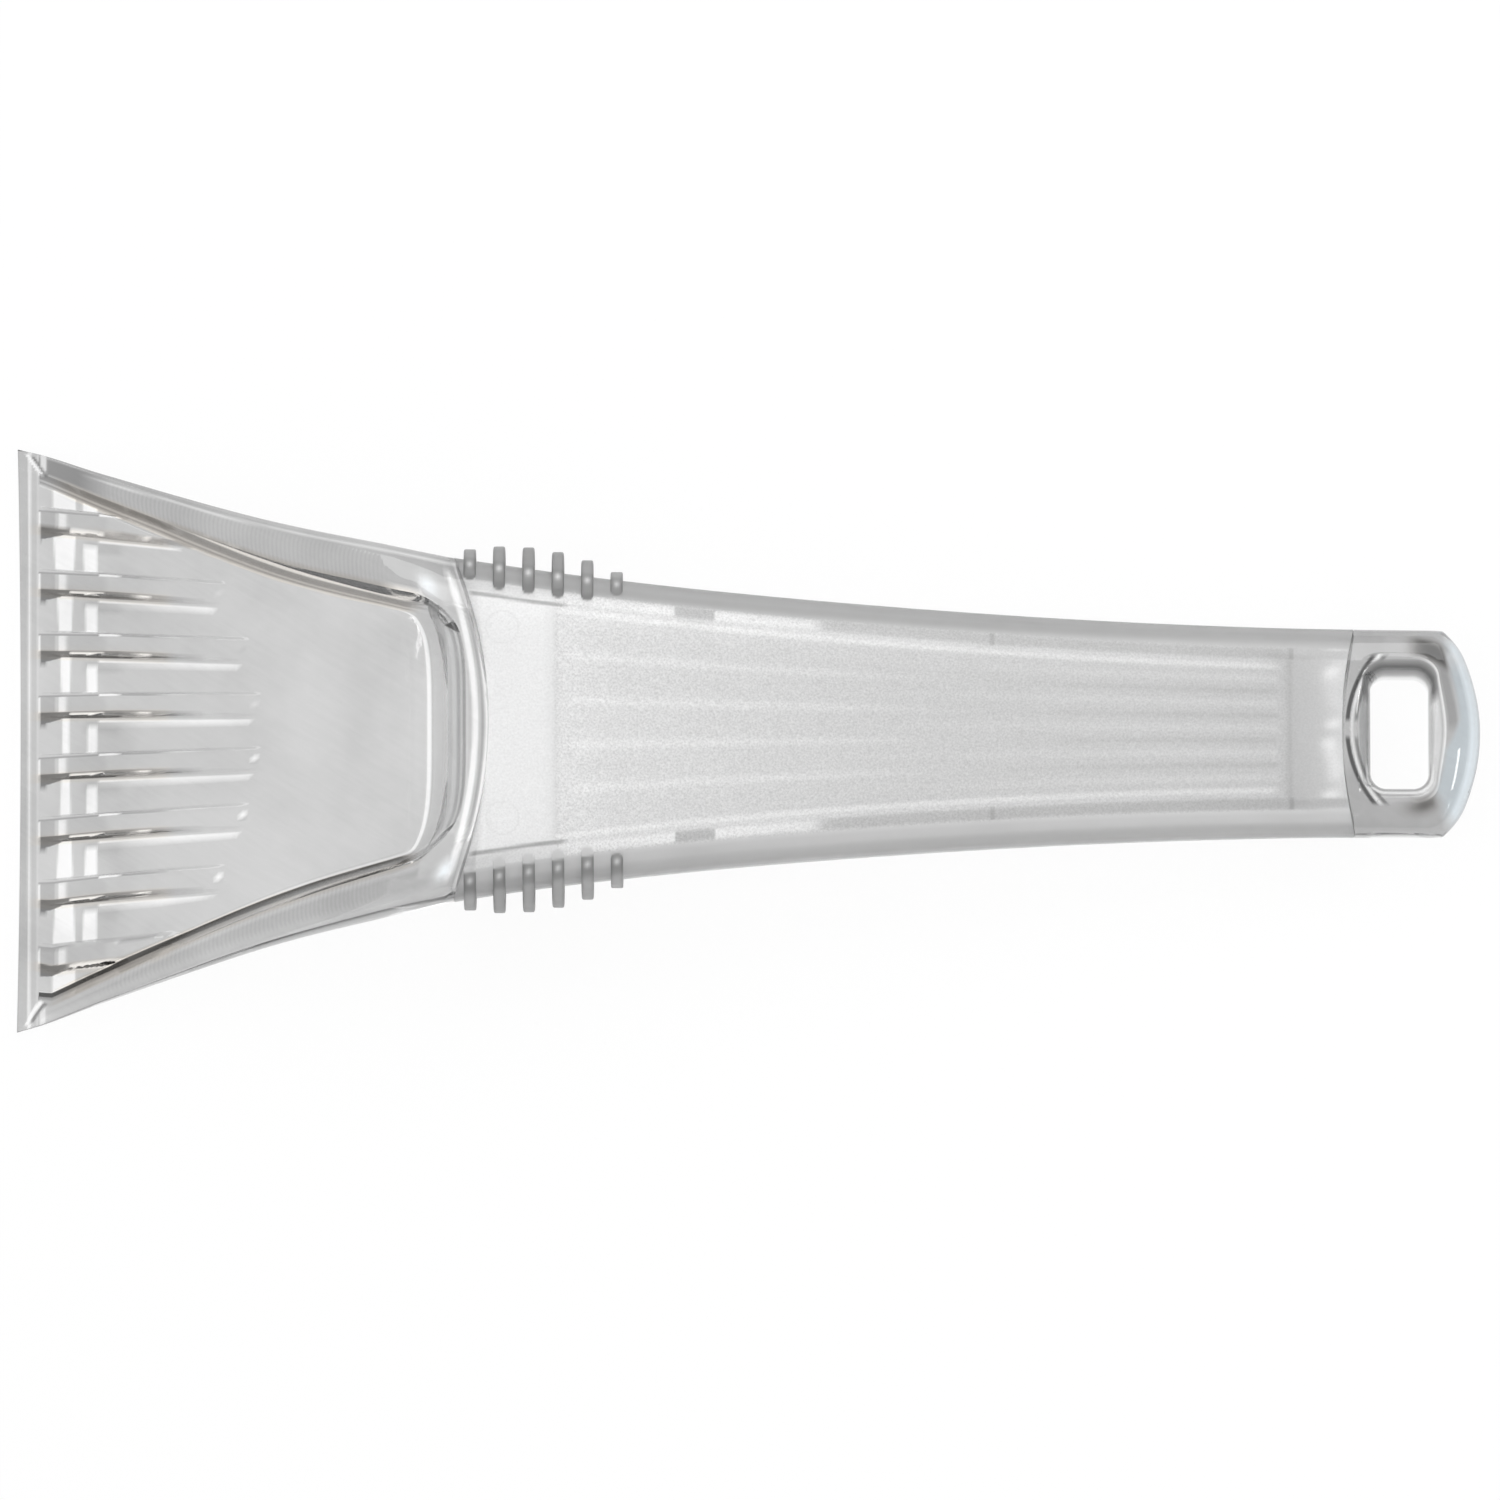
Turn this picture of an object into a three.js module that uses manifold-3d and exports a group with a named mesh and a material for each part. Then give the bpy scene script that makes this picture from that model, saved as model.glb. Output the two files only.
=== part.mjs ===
// Ice scraper: a clear moulded head with a blade, a tray and ice ribs, a hollow frosted handle in two
// halves, and a clear hanging loop. The head and the loop each plug into the handle with a hollow tongue.
// Millimetres. +X runs from the blade to the loop, +Z is up, and the tool lies on its blade and its loop.
import * as THREE from 'three';
import Module from 'manifold-3d';

const wasm = await Module();
wasm.setup();

// Driving dimensions of the whole tool
const BLADE_X = -112.4; // corners of the blade edge
const TIP_X = 112.4; // end of the hanging loop
const CLEARANCE = 0.3; // gap between neighbouring mouldings
const SECTION_POWER = 3.2; // superellipse exponent of every cross-section
const EDGE_LAND = 0.4; // upright land on each side of the parting line
const BEYOND = 20; // reach of the cutting shapes past what they cut
const OVERRUN = 4; // reach of the hollows past the open ends of the shells and tongues

// Half width of the tool in plan, as [x, half width]
const halfWidth = curveThrough([
  [BLADE_X, 45.1], [-108, 43.9], [-99.5, 40.9], [-75, 33.1], [-57, 28.7], [-45, 26.3],
  [-22, 23.1], [8, 20.1], [45, 17.5], [80, 16.1], [TIP_X, 15.8],
]);
// Height of the outer skin above the parting line, as [x, height]
const skinAbove = curveThrough([
  [BLADE_X, 0.5], [-108.9, 1.3], [-90, 4.3], [-65, 8.2], [-45, 10.4],
  [-20, 10.2], [20, 9.2], [60, 7.9], [92, 6.9], [TIP_X, 6.2],
]);
// Depth of the outer skin below the parting line, as [x, depth]
const skinBelow = curveThrough([
  [BLADE_X, 0.65], [-106, 1.6], [-85, 2.9], [-70, 3.8], [-57, 7], [-46, 10.2],
  [-35, 10.6], [0, 9.8], [40, 8.5], [92, 7], [TIP_X, 6],
]);

// Crank of the parting line: the head climbs from the blade, the handle falls to the loop
const BEND_X = -45;
const BEND_HEIGHT = 14.4;
const BEND_SOFTNESS = 8;
const HEAD_SLOPE = 0.22;
const HANDLE_SLOPE = -0.06;

// Blade and tray
const BLADE_HOLLOW = 0.5; // the blade edge is slightly concave in plan
const BLADE_LAND = 0.2; // upright land at the thin blade
const HEAD_ROWS = 18;
const HEAD_ROW_CROWDING = 1.4; // the rows lie closer together towards the blade
const TRAY_REAR_X = -43.5;
const TRAY_CORNER = 7; // how far the tray's rear corners are rounded back
const TRAY_SIDE_WALL = 2.1; // width of the sloping side walls in plan
const TRAY_REAR_WALL = 5.4; // width of the sloping rear wall in plan
const TRAY_WALL_POWER = 1.6; // the walls curve up from the floor
const TRAY_FRONT_SHARE = 0.2; // share of the length with the curved rise behind the blade
const TRAY_REAR_SHARE = 0.9; // share of the length where the rear wall begins
const TRAY_SIDE_SHARE = 0.92; // share of the half width where the side walls begin
// Width of the rims beside the tray, as [x, width]
const rimWidth = curveThrough([
  [BLADE_X, 3.2], [-108, 3.5], [-90, 5.3], [-69, 7.2], [-49, 7.65], [-43, 7.7],
]);
// Height of the tray's floor over the parting line, as [x, height]
const trayFloor = curveThrough([
  [-118, 5], [-109.2, 1.4], [-106, 0.4], [-101, 0.1], [-92, 0.2], [-40, -1],
]);

// Ice ribs
const RIB_COUNT = 8;
const RIB_PITCH = 9.3; // at the rib fronts
const RIB_FRONT_X = -109;
const RIB_PEAK_X = -105.7;
const RIB_FRONT_HEIGHT = 0.6;
const RIB_HEIGHT = 3.4;
const RIB_REAR_HEIGHT = 0.4; // the ribs end in a small step
const RIB_TOP = 2.6;
const RIB_BASE = 4;
const RIB_ROOT = 0.8; // depth that the ribs reach into the floor
const RIB_REAR_X = -75.3; // rear end of the middle ribs
const RIB_REAR_CURVE = 0.93; // the rear ends lie on an arc
const RIB_FAN_X = 160; // the ribs converge on this point

// Handle shells
const WALL = 2;
const LOWER_WALL = 2.4; // thicker, because the flutes are pressed into it
const FRONT_SEAM_X = -45; // at the sides; the seam bulges towards the handle in the middle
const FRONT_SEAM_BULGE = 5.4;
const REAR_SEAM_X = 93;
const REAR_SEAM_BULGE = -2;
const SEAM_FADE = 12; // length over which the bulge of a seam dies out
const FLUTE_COUNT = 5;
const FLUTE_DEPTH = 0.8;
const FLUTE_START_X = -27.5;
const FLUTE_END_X = 83;
const FLUTE_RUN_OUT = 3;
const PANEL_MARGIN = 6; // from the outline to the fluted panel
const FIN_COUNT = 6;
const FIN_PITCH = 4.5;
const FIN_WIDTH = 1.8;
const FIN_FIRST_X = -42.6;
const FIN_REACH = 3.5; // largest reach past the outline
const FIN_REACH_FALL = 0.3; // the fin tips lie on a parabola about fin number FIN_PEAK
const FIN_PEAK = 2.35;
const FIN_ROOT = 4.8; // the fins start this far inside the outline
const FIN_FACETS = 7;
const HOOK_X = [-8.3, 37.4, 83.1];
const HOOK_LENGTH = 5.8;
const HOOK_THICKNESS = 1.4;
const HOOK_RISE = 0.4; // share of the upper shell's height that the hooks reach
const HOOK_SETBACK = 0.9; // from the wall's face to the hook's back
const HOOK_LIP = 0.7;
const HOOK_ROOT = 5; // how far the hooks run down inside the lower shell
const HOOK_RECESS = 0.4; // room for the hooks in the upper shell's wall

// Tongues, and the pegs that pass through them
const HEAD_TONGUE_END_X = -29.6;
const HEAD_TONGUE_MARGIN = 5.9; // from the outline to the tongue's side
const HEAD_TONGUE_ROOT_X = -44;
const LOOP_TONGUE_END_X = 82.8;
const LOOP_TONGUE_MARGIN = 5.4;
const LOOP_TONGUE_ROOT_X = 95;
const TONGUE_WALL = 1.8;
const TRAY_BACK_WALL = 3.2; // between the tray's brim and the hollow of the tongue
const LOOP_POCKET_X = 91.2; // blind end of the loop's hollow on the centre line
const LOOP_POCKET_CURVE = 4; // the blind end curves back along the sides
const PEG_DIAMETER = 4.4;
const SOCKET_DIAMETER = 7;
const SOCKET_FOOT = 1; // height of the sockets' open ends over the parting line
const PEG_SIDES = 14;
const PEGS = [[-35.4, 11], [-35.4, -11], [87, 0]]; // plan positions

// Hanging loop
const LOOP_END_CURVE = 2.6; // sagitta of the end
const LOOP_CORNER = 4.3;
const LOOP_CORNER_START = 0.72; // share of the half width where the corners begin
const LOOP_EDGE_START = 0.8; // share of the length where the end begins to thin out
const LOOP_EDGE_THINNING = 0.85;
const LOOP_SOLE = 0.6; // the sole is cut flat this far above its full depth
const HOLE_X = 100;
const HOLE_LENGTH = 8.9;
const HOLE_WIDTH = 17.4;
const HOLE_CORNER = 2.4;
const HOLE_CORNER_FACETS = 4;
const HOLE_THROAT = 3; // height of the straight throat
const HOLE_TOP_FLARE = 2.6; // how far the rounded mouths open past the throat
const HOLE_SOLE_FLARE = 0.7;

/** Smooth curve through hand-placed [x, value] knots: a cubic between neighbours, with averaged slopes. */
function curveThrough(knots) {
  const slopes = knots.map((knot, i) => {
    const before = knots[Math.max(i - 1, 0)];
    const after = knots[Math.min(i + 1, knots.length - 1)];
    return (after[1] - before[1]) / (after[0] - before[0]);
  });
  return (x) => {
    const found = knots.findIndex((knot) => knot[0] >= x);
    const next = found < 0 ? knots.length - 1 : Math.max(found, 1);
    const [x0, y0] = knots[next - 1];
    const [x1, y1] = knots[next];
    const span = x1 - x0;
    const t = THREE.MathUtils.clamp((x - x0) / span, 0, 1);
    const leaving = (1 - t) ** 2 * (y0 * (1 + 2 * t) + slopes[next - 1] * span * t);
    return leaving + t * t * (y1 * (3 - 2 * t) - slopes[next] * span * (1 - t));
  };
}

/** Height of the parting line: two straight slopes joined by a hyperbola at the bend. */
function partingHeight(x) {
  const along = x - BEND_X;
  const mean = (HEAD_SLOPE + HANDLE_SLOPE) / 2;
  const turn = (HANDLE_SLOPE - HEAD_SLOPE) / 2;
  return BEND_HEIGHT + mean * along + turn * (Math.hypot(along, BEND_SOFTNESS) - BEND_SOFTNESS);
}

/** Point at plan position x, y and at height w over the parting line. */
function place(x, y, w) {
  return [x, y, partingHeight(x) + w];
}

/** Evenly spaced values from a to b, ends included. */
function steps(a, b, count) {
  return Array.from({ length: count + 1 }, (_, i) => a + ((b - a) * i) / count);
}

/** Superellipse height, 1 in the middle and 0 at the side, at a share v of the half width. */
function arch(v) {
  return Math.max(1 - Math.abs(v) ** SECTION_POWER, 0) ** (1 / SECTION_POWER);
}

/** Shares of the half width from -1 to 1, closer together at the sides where the section turns down. */
function acrossStations(count) {
  return steps(-Math.PI / 2, Math.PI / 2, count).map((angle) => {
    return Math.sign(angle) * Math.abs(Math.sin(angle)) ** (2 / SECTION_POWER);
  });
}

/** Closed solid from vertices and triangles. */
function solid(positions, triangles) {
  return new wasm.Manifold(new wasm.Mesh({
    numProp: 3,
    vertProperties: new Float32Array(positions.flat()),
    triVerts: new Uint32Array(triangles.flat()),
  }));
}

/** Closed solid between an upper and a lower sheet, both functions of the same two lists of stations. */
function slab(along, across, upper, lower) {
  const rows = along.length;
  const columns = across.length;
  const pointsOf = (sheet) => along.flatMap((u) => across.map((v) => sheet(u, v)));
  const top = (i, j) => i * columns + j;
  const bottom = (i, j) => rows * columns + top(i, j);
  const lastRow = rows - 1;
  const lastColumn = columns - 1;
  const triangles = [];
  const quad = (a, b, c, d) => triangles.push([a, b, c], [a, c, d]);
  for (let i = 0; i < lastRow; i++) {
    for (let j = 0; j < lastColumn; j++) {
      quad(top(i, j), top(i + 1, j), top(i + 1, j + 1), top(i, j + 1));
      quad(bottom(i, j), bottom(i, j + 1), bottom(i + 1, j + 1), bottom(i + 1, j));
    }
    quad(bottom(i, 0), bottom(i + 1, 0), top(i + 1, 0), top(i, 0));
    quad(top(i, lastColumn), top(i + 1, lastColumn), bottom(i + 1, lastColumn), bottom(i, lastColumn));
  }
  for (let j = 0; j < lastColumn; j++) {
    quad(top(0, j), top(0, j + 1), bottom(0, j + 1), bottom(0, j));
    quad(bottom(lastRow, j), bottom(lastRow, j + 1), top(lastRow, j + 1), top(lastRow, j));
  }
  return solid([...pointsOf(upper), ...pointsOf(lower)], triangles);
}

/** Slab above (side 1) or below (side -1) a base sheet. */
function halfSlab(side, along, across, outer, base) {
  return side > 0 ? slab(along, across, outer, base) : slab(along, across, base, outer);
}

/** Closed solid of stacked rings with the same number of points, capped at both ends, lowest ring first. */
function stack(rings) {
  const count = rings[0].length;
  const triangles = [];
  for (let k = 0; k + 1 < rings.length; k++) {
    for (let i = 0; i < count; i++) {
      const a = k * count + i;
      const b = k * count + ((i + 1) % count);
      triangles.push([a, b, b + count], [a, b + count, a + count]);
    }
  }
  const last = (rings.length - 1) * count;
  for (let i = 1; i + 1 < count; i++) {
    triangles.push([0, i + 1, i], [last, last + i, last + i + 1]);
  }
  return solid(rings.flat(), triangles);
}

/** Upright round bar between two heights over the parting line. */
function roundBar(x, y, diameter, low, high) {
  const radius = diameter / 2;
  const ring = (w) => steps(0, 2 * Math.PI, PEG_SIDES).slice(1).map((angle) => {
    return [x + radius * Math.cos(angle), y + radius * Math.sin(angle), partingHeight(x) + w];
  });
  return stack([ring(low), ring(high)]);
}

/** Box between two x and two y values, whose floor and roof keep their heights over the parting line. */
function followBox(xs, ys, low, high) {
  return slab(xs, ys, (x, y) => place(x, y, high), (x, y) => place(x, y, low));
}

function joinAll(first, others) {
  return others.reduce((whole, other) => whole.add(other), first);
}

function cutAll(first, cutters) {
  return cutters.reduce((whole, cutter) => whole.subtract(cutter), first);
}

function reachOf(x, side) {
  return side > 0 ? skinAbove(x) : skinBelow(x);
}

/** Height of the handle's skin over the parting line, on one side of it and drawn in by an inset. */
function skinHeight(x, y, side, inset) {
  const land = CLEARANCE / 2 + EDGE_LAND;
  return side * (land + (reachOf(x, side) - inset - land) * arch(y / (halfWidth(x) - inset)));
}

/** Plan position of a station x of the handle: the stations near the ends bend with the curved seams. */
function seamed(x, v) {
  const front = Math.max(1 - (x - FRONT_SEAM_X) / SEAM_FADE, 0);
  const rear = Math.max(1 - (REAR_SEAM_X - x) / SEAM_FADE, 0);
  return x + (1 - v * v) * (FRONT_SEAM_BULGE * front + REAR_SEAM_BULGE * rear);
}

/** Stations along the handle, with rows at the ends of the flutes; overrun lengthens both ends. */
function handleStations(overrun) {
  return [
    FRONT_SEAM_X - overrun,
    ...steps(FRONT_SEAM_X, FLUTE_START_X, 3).slice(1),
    ...steps(FLUTE_START_X + FLUTE_RUN_OUT, FLUTE_END_X - FLUTE_RUN_OUT, 8),
    ...steps(FLUTE_END_X, REAR_SEAM_X, 2).slice(0, -1),
    REAR_SEAM_X + overrun,
  ];
}

/** Share of the half width at a station c of the underside: 0 to 1 is the panel, 1 to 2 the side band. */
function panelShare(x, c) {
  const margin = PANEL_MARGIN / halfWidth(x);
  const band = 2 - Math.abs(c);
  return band > 1 ? c * (1 - margin) : Math.sign(c) * (1 - margin * band * band);
}

/** Depth of the flutes pressed into the underside: even waves across the panel, run out at its ends. */
function fluteDepth(x, y) {
  const panel = y / (halfWidth(x) - PANEL_MARGIN);
  const run = Math.min(x - FLUTE_START_X, FLUTE_END_X - x) / FLUTE_RUN_OUT;
  if (Math.abs(panel) >= 1 || run <= 0) {
    return 0;
  }
  return FLUTE_DEPTH * Math.min(run, 1) * (1 - Math.cos(Math.PI * FLUTE_COUNT * (panel + 1))) / 2;
}

/** One half of the handle as a full solid that runs past the parting line; shareAt spaces its columns. */
function handleHalf(side, inset, along, across, shareAt = (x, v) => v) {
  const sheet = (height) => (station, column) => {
    const v = shareAt(station, column);
    const x = seamed(station, v);
    const y = v * (halfWidth(x) - inset);
    return place(x, y, height(x, y));
  };
  const flutes = side < 0 && inset === 0 ? fluteDepth : () => 0;
  const outer = sheet((x, y) => skinHeight(x, y, side, inset) + flutes(x, y));
  return halfSlab(side, along, across, outer, sheet(() => -side * WALL));
}

/** Everything on the far side of the parting line, with half of the gap between the shells. */
function partingCutter(side) {
  const along = steps(FRONT_SEAM_X - BEYOND, REAR_SEAM_X + BEYOND, 24);
  const across = [-2 * BEYOND, 2 * BEYOND];
  const gap = (x, y) => place(x, y, (side * CLEARANCE) / 2);
  return halfSlab(-side, along, across, (x, y) => place(x, y, -side * BEYOND), gap);
}

/** Grip fins of one shell: quarter ellipses standing out of both sides, furthest in the middle. */
function fins(side) {
  const made = [];
  for (let i = 0; i < FIN_COUNT; i++) {
    const x = FIN_FIRST_X + i * FIN_PITCH;
    const half = halfWidth(x);
    const behindSeam = 1 - (x - FIN_WIDTH / 2 - FRONT_SEAM_X) / FRONT_SEAM_BULGE;
    const root = Math.max(half - FIN_ROOT, half * Math.sqrt(Math.max(behindSeam, 0)));
    const span = half + FIN_REACH - FIN_REACH_FALL * (i - FIN_PEAK) ** 2 - root;
    const top = Math.abs(skinHeight(x, root, side, 0)) - EDGE_LAND;
    const curve = (u, y) => {
      const share = Math.min((Math.abs(y) - root) / span, 1);
      return place(u, y, side * (EDGE_LAND + top * Math.sqrt(1 - share * share)));
    };
    const shares = steps(0, Math.PI / 2, FIN_FACETS).map((angle) => Math.sin(angle));
    const xs = [x - FIN_WIDTH / 2, x + FIN_WIDTH / 2];
    for (const hand of [1, -1]) {
      const ys = shares.map((share) => hand * (root + span * share)).sort((a, b) => a - b);
      made.push(halfSlab(side, xs, ys, curve, (u, y) => place(u, y, -side * WALL)));
    }
  }
  return made;
}

/** Snap hooks: upright tabs inside the side walls, lipped towards the wall; extra room makes recesses. */
function hooks(extra) {
  const made = [];
  for (const x of HOOK_X) {
    const back = halfWidth(x) - WALL - CLEARANCE - HOOK_SETBACK;
    const front = back - HOOK_THICKNESS;
    const rise = HOOK_RISE * skinAbove(x);
    const lipBottom = rise / 2 - extra;
    const lipTop = rise - HOOK_LIP + extra;
    const xs = [x - HOOK_LENGTH / 2 - extra, x + HOOK_LENGTH / 2 + extra];
    for (const hand of [1, -1]) {
      const between = (inner, outer) => [hand * inner, hand * outer].sort((a, b) => a - b);
      const tab = followBox(xs, between(front - extra, back + extra), -HOOK_ROOT, rise + extra);
      const lip = followBox(xs, between(front, back + HOOK_LIP + extra), lipBottom, lipTop);
      made.push(tab, lip);
    }
  }
  return made;
}

/** Solid that follows the inside of the handle at a margin from the outline; xOf bends its rows. */
function tongue(rows, margin, inset, xOf) {
  const sheet = (side) => (row, v) => {
    const x = xOf(row, v);
    const y = v * (halfWidth(x) - margin);
    const wall = side > 0 ? WALL : LOWER_WALL;
    return place(x, y, skinHeight(x, y, side, wall + CLEARANCE + inset));
  };
  return slab(rows, steps(-1, 1, 10), sheet(1), sheet(-1));
}

/** Tray that is cut into the head: a drafted hollow, open at the blade, with a rounded rear end. */
function trayCutter() {
  const rear = (v) => TRAY_REAR_X - TRAY_CORNER * v ** 4;
  const half = (x) => halfWidth(x) - rimWidth(x);
  const along = [
    ...steps(0, TRAY_FRONT_SHARE, 5),
    ...steps(TRAY_FRONT_SHARE, TRAY_REAR_SHARE, 9).slice(1),
    ...steps(TRAY_REAR_SHARE, 1, 4).slice(1),
  ];
  const across = [
    ...steps(-1, -TRAY_SIDE_SHARE, 3),
    ...steps(-TRAY_SIDE_SHARE, TRAY_SIDE_SHARE, 14).slice(1, -1),
    ...steps(TRAY_SIDE_SHARE, 1, 3),
  ];
  const sheet = (height) => (u, v) => {
    const x = THREE.MathUtils.lerp(BLADE_X - CLEARANCE, rear(v), u);
    const y = v * half(x);
    return place(x, y, height(x, y, v));
  };
  const rise = (distance) => Math.max(1 - distance, 0) ** TRAY_WALL_POWER;
  const floor = sheet((x, y, v) => {
    const fromSide = rise((half(x) - Math.abs(y)) / TRAY_SIDE_WALL);
    const fromRear = rise((rear(v) - x) / TRAY_REAR_WALL);
    const brim = skinAbove(x) * arch(y / halfWidth(x)) + CLEARANCE;
    const share = Math.min(Math.hypot(fromSide, fromRear), 1);
    return THREE.MathUtils.lerp(trayFloor(x), Math.max(brim, trayFloor(x)), share);
  });
  return slab(along, across, sheet(() => BEYOND), floor);
}

/** Ice ribs: blunt teeth behind the blade that taper along the tray floor and fan towards the handle. */
function iceRibs() {
  return Array.from({ length: RIB_COUNT }, (_, i) => {
    const number = i - (RIB_COUNT - 1) / 2;
    const rearX = RIB_REAR_X - RIB_REAR_CURVE * number * number;
    const spread = (x) => (number * RIB_PITCH * (RIB_FAN_X - x)) / (RIB_FAN_X - RIB_FRONT_X);
    const height = curveThrough([
      [RIB_FRONT_X, RIB_FRONT_HEIGHT], [RIB_PEAK_X, RIB_HEIGHT], [rearX, RIB_REAR_HEIGHT],
    ]);
    const along = [...steps(RIB_FRONT_X, RIB_PEAK_X, 2), ...steps(RIB_PEAK_X, rearX, 5).slice(1)];
    const across = [-RIB_BASE / 2, -RIB_TOP / 2, RIB_TOP / 2, RIB_BASE / 2];
    const sheet = (lift) => (x, d) => place(x, spread(x) + d, trayFloor(x) + lift(x, d));
    const crest = sheet((x, d) => (Math.abs(d) < RIB_BASE / 2 ? height(x) : -RIB_ROOT / 2));
    return slab(along, across, crest, sheet(() => -RIB_ROOT));
  });
}

function scraperHead() {
  const along = steps(0, 1, HEAD_ROWS).map((u) => u ** HEAD_ROW_CROWDING);
  const sheet = (side) => (u, v) => {
    const front = BLADE_X + BLADE_HOLLOW * (1 - v * v);
    const x = THREE.MathUtils.lerp(front, seamed(FRONT_SEAM_X, v) - CLEARANCE, u);
    const land = Math.min(EDGE_LAND + CLEARANCE / 2, BLADE_LAND + u);
    return place(x, v * halfWidth(x), side * (land + (reachOf(x, side) - land) * arch(v)));
  };
  const body = slab(along, acrossStations(20), sheet(1), sheet(-1));
  const straight = (x) => x;
  const plugRows = steps(HEAD_TONGUE_ROOT_X, HEAD_TONGUE_END_X, 4);
  const plug = tongue(plugRows, HEAD_TONGUE_MARGIN, 0, straight);
  const pocketRows = steps(TRAY_REAR_X + TRAY_BACK_WALL, HEAD_TONGUE_END_X + OVERRUN, 3);
  const pocket = tongue(pocketRows, HEAD_TONGUE_MARGIN + TONGUE_WALL, TONGUE_WALL, straight);
  const carved = joinAll(body.subtract(trayCutter()), iceRibs());
  return cutAll(carved.add(plug), [pocket, ...pegHoles()]);
}

/** Clear holes in the tongues for the pegs and their sockets. */
function pegHoles() {
  return PEGS.map(([x, y]) => roundBar(x, y, SOCKET_DIAMETER + 2 * CLEARANCE, -BEYOND, BEYOND));
}

function upperHandleShell() {
  const outer = handleHalf(1, 0, handleStations(0), acrossStations(18));
  const inner = handleHalf(1, WALL, handleStations(OVERRUN), acrossStations(16));
  const shell = cutAll(joinAll(outer, fins(1)), [inner, partingCutter(1)]);
  const sockets = PEGS.map(([x, y]) => {
    return roundBar(x, y, SOCKET_DIAMETER, SOCKET_FOOT, skinHeight(x, y, 1, WALL / 2));
  });
  const bores = PEGS.map(([x, y]) => {
    return roundBar(x, y, PEG_DIAMETER + 2 * CLEARANCE, 0, skinHeight(x, y, 1, WALL));
  });
  return cutAll(joinAll(shell, sockets), [...bores, ...hooks(HOOK_RECESS)]);
}

function lowerHandleShell() {
  const across = [
    ...steps(-2, -1, 6),
    ...steps(-1, 1, 4 * FLUTE_COUNT).slice(1, -1),
    ...steps(1, 2, 6),
  ];
  const outer = handleHalf(-1, 0, handleStations(0), across, panelShare);
  const inner = handleHalf(-1, LOWER_WALL, handleStations(OVERRUN), acrossStations(16));
  const shell = cutAll(joinAll(outer, fins(-1)), [inner, partingCutter(-1)]);
  const pegs = PEGS.map(([x, y]) => {
    const foot = skinHeight(x, y, -1, LOWER_WALL / 2);
    return roundBar(x, y, PEG_DIAMETER, foot, skinHeight(x, y, 1, 2 * WALL));
  });
  return joinAll(shell, [...pegs, ...hooks(0)]);
}

/** Ring of a rounded rectangle round the hanging hole, grown by a flare, at height w. */
function holeRing(flare, w) {
  const corners = [[1, 1], [-1, 1], [-1, -1], [1, -1]];
  const radius = HOLE_CORNER + flare;
  const height = partingHeight(HOLE_X) + w;
  return corners.flatMap(([signX, signY], quarter) => {
    const centreX = HOLE_X + signX * (HOLE_LENGTH / 2 - HOLE_CORNER);
    const centreY = signY * (HOLE_WIDTH / 2 - HOLE_CORNER);
    const start = (quarter * Math.PI) / 2;
    return steps(start, start + Math.PI / 2, HOLE_CORNER_FACETS).map((angle) => {
      return [centreX + radius * Math.cos(angle), centreY + radius * Math.sin(angle), height];
    });
  });
}

/** Hanging hole: a straight throat whose mouths open in quarter rounds, wide on top and narrow below. */
function hangingHole() {
  const depth = reachOf(HOLE_X, 1) - HOLE_THROAT / 2;
  const mouth = (flare, side) => steps(0, Math.PI / 2, 3).map((angle) => {
    return holeRing(flare * (1 - Math.cos(angle)), side * (HOLE_THROAT / 2 + depth * Math.sin(angle)));
  });
  const past = holeRing(HOLE_TOP_FLARE, BEYOND);
  const under = holeRing(HOLE_SOLE_FLARE, -BEYOND);
  return stack([under, ...mouth(HOLE_SOLE_FLARE, -1).reverse(), ...mouth(HOLE_TOP_FLARE, 1), past]);
}

function hangingLoop() {
  const along = [...steps(0, LOOP_EDGE_START, 6), ...steps(LOOP_EDGE_START, 1, 5).slice(1)];
  const end = (v) => {
    const corner = Math.max((Math.abs(v) - LOOP_CORNER_START) / (1 - LOOP_CORNER_START), 0);
    return TIP_X - LOOP_END_CURVE * v * v - LOOP_CORNER * corner ** 3;
  };
  const thinned = (u) => {
    const share = Math.max((u - LOOP_EDGE_START) / (1 - LOOP_EDGE_START), 0);
    return Math.sqrt(1 - LOOP_EDGE_THINNING * share * share);
  };
  const sheet = (height) => (u, v) => {
    const x = THREE.MathUtils.lerp(seamed(REAR_SEAM_X, v) + CLEARANCE, end(v), u);
    return place(x, v * halfWidth(x), height(x, arch(v) * thinned(u)));
  };
  const land = EDGE_LAND + CLEARANCE / 2;
  const above = sheet((x, share) => land + (skinAbove(x) - land) * share);
  const below = sheet((x, share) => {
    const full = partingHeight(x) + LOOP_SOLE;
    return -Math.min(land + (full - land) * share, partingHeight(x));
  });
  const body = slab(along, acrossStations(18), above, below);
  const plugRows = steps(LOOP_TONGUE_END_X, LOOP_TONGUE_ROOT_X, 3);
  const plug = tongue(plugRows, LOOP_TONGUE_MARGIN, 0, (x) => x);
  const pocketX = (u, v) => {
    const blindEnd = LOOP_POCKET_X + LOOP_POCKET_CURVE * v * v;
    return THREE.MathUtils.lerp(LOOP_TONGUE_END_X - OVERRUN, blindEnd, u);
  };
  const pocket = tongue(steps(0, 1, 3), LOOP_TONGUE_MARGIN + TONGUE_WALL, TONGUE_WALL, pocketX);
  return cutAll(body.add(plug), [pocket, hangingHole(), ...pegHoles()]);
}

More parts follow.
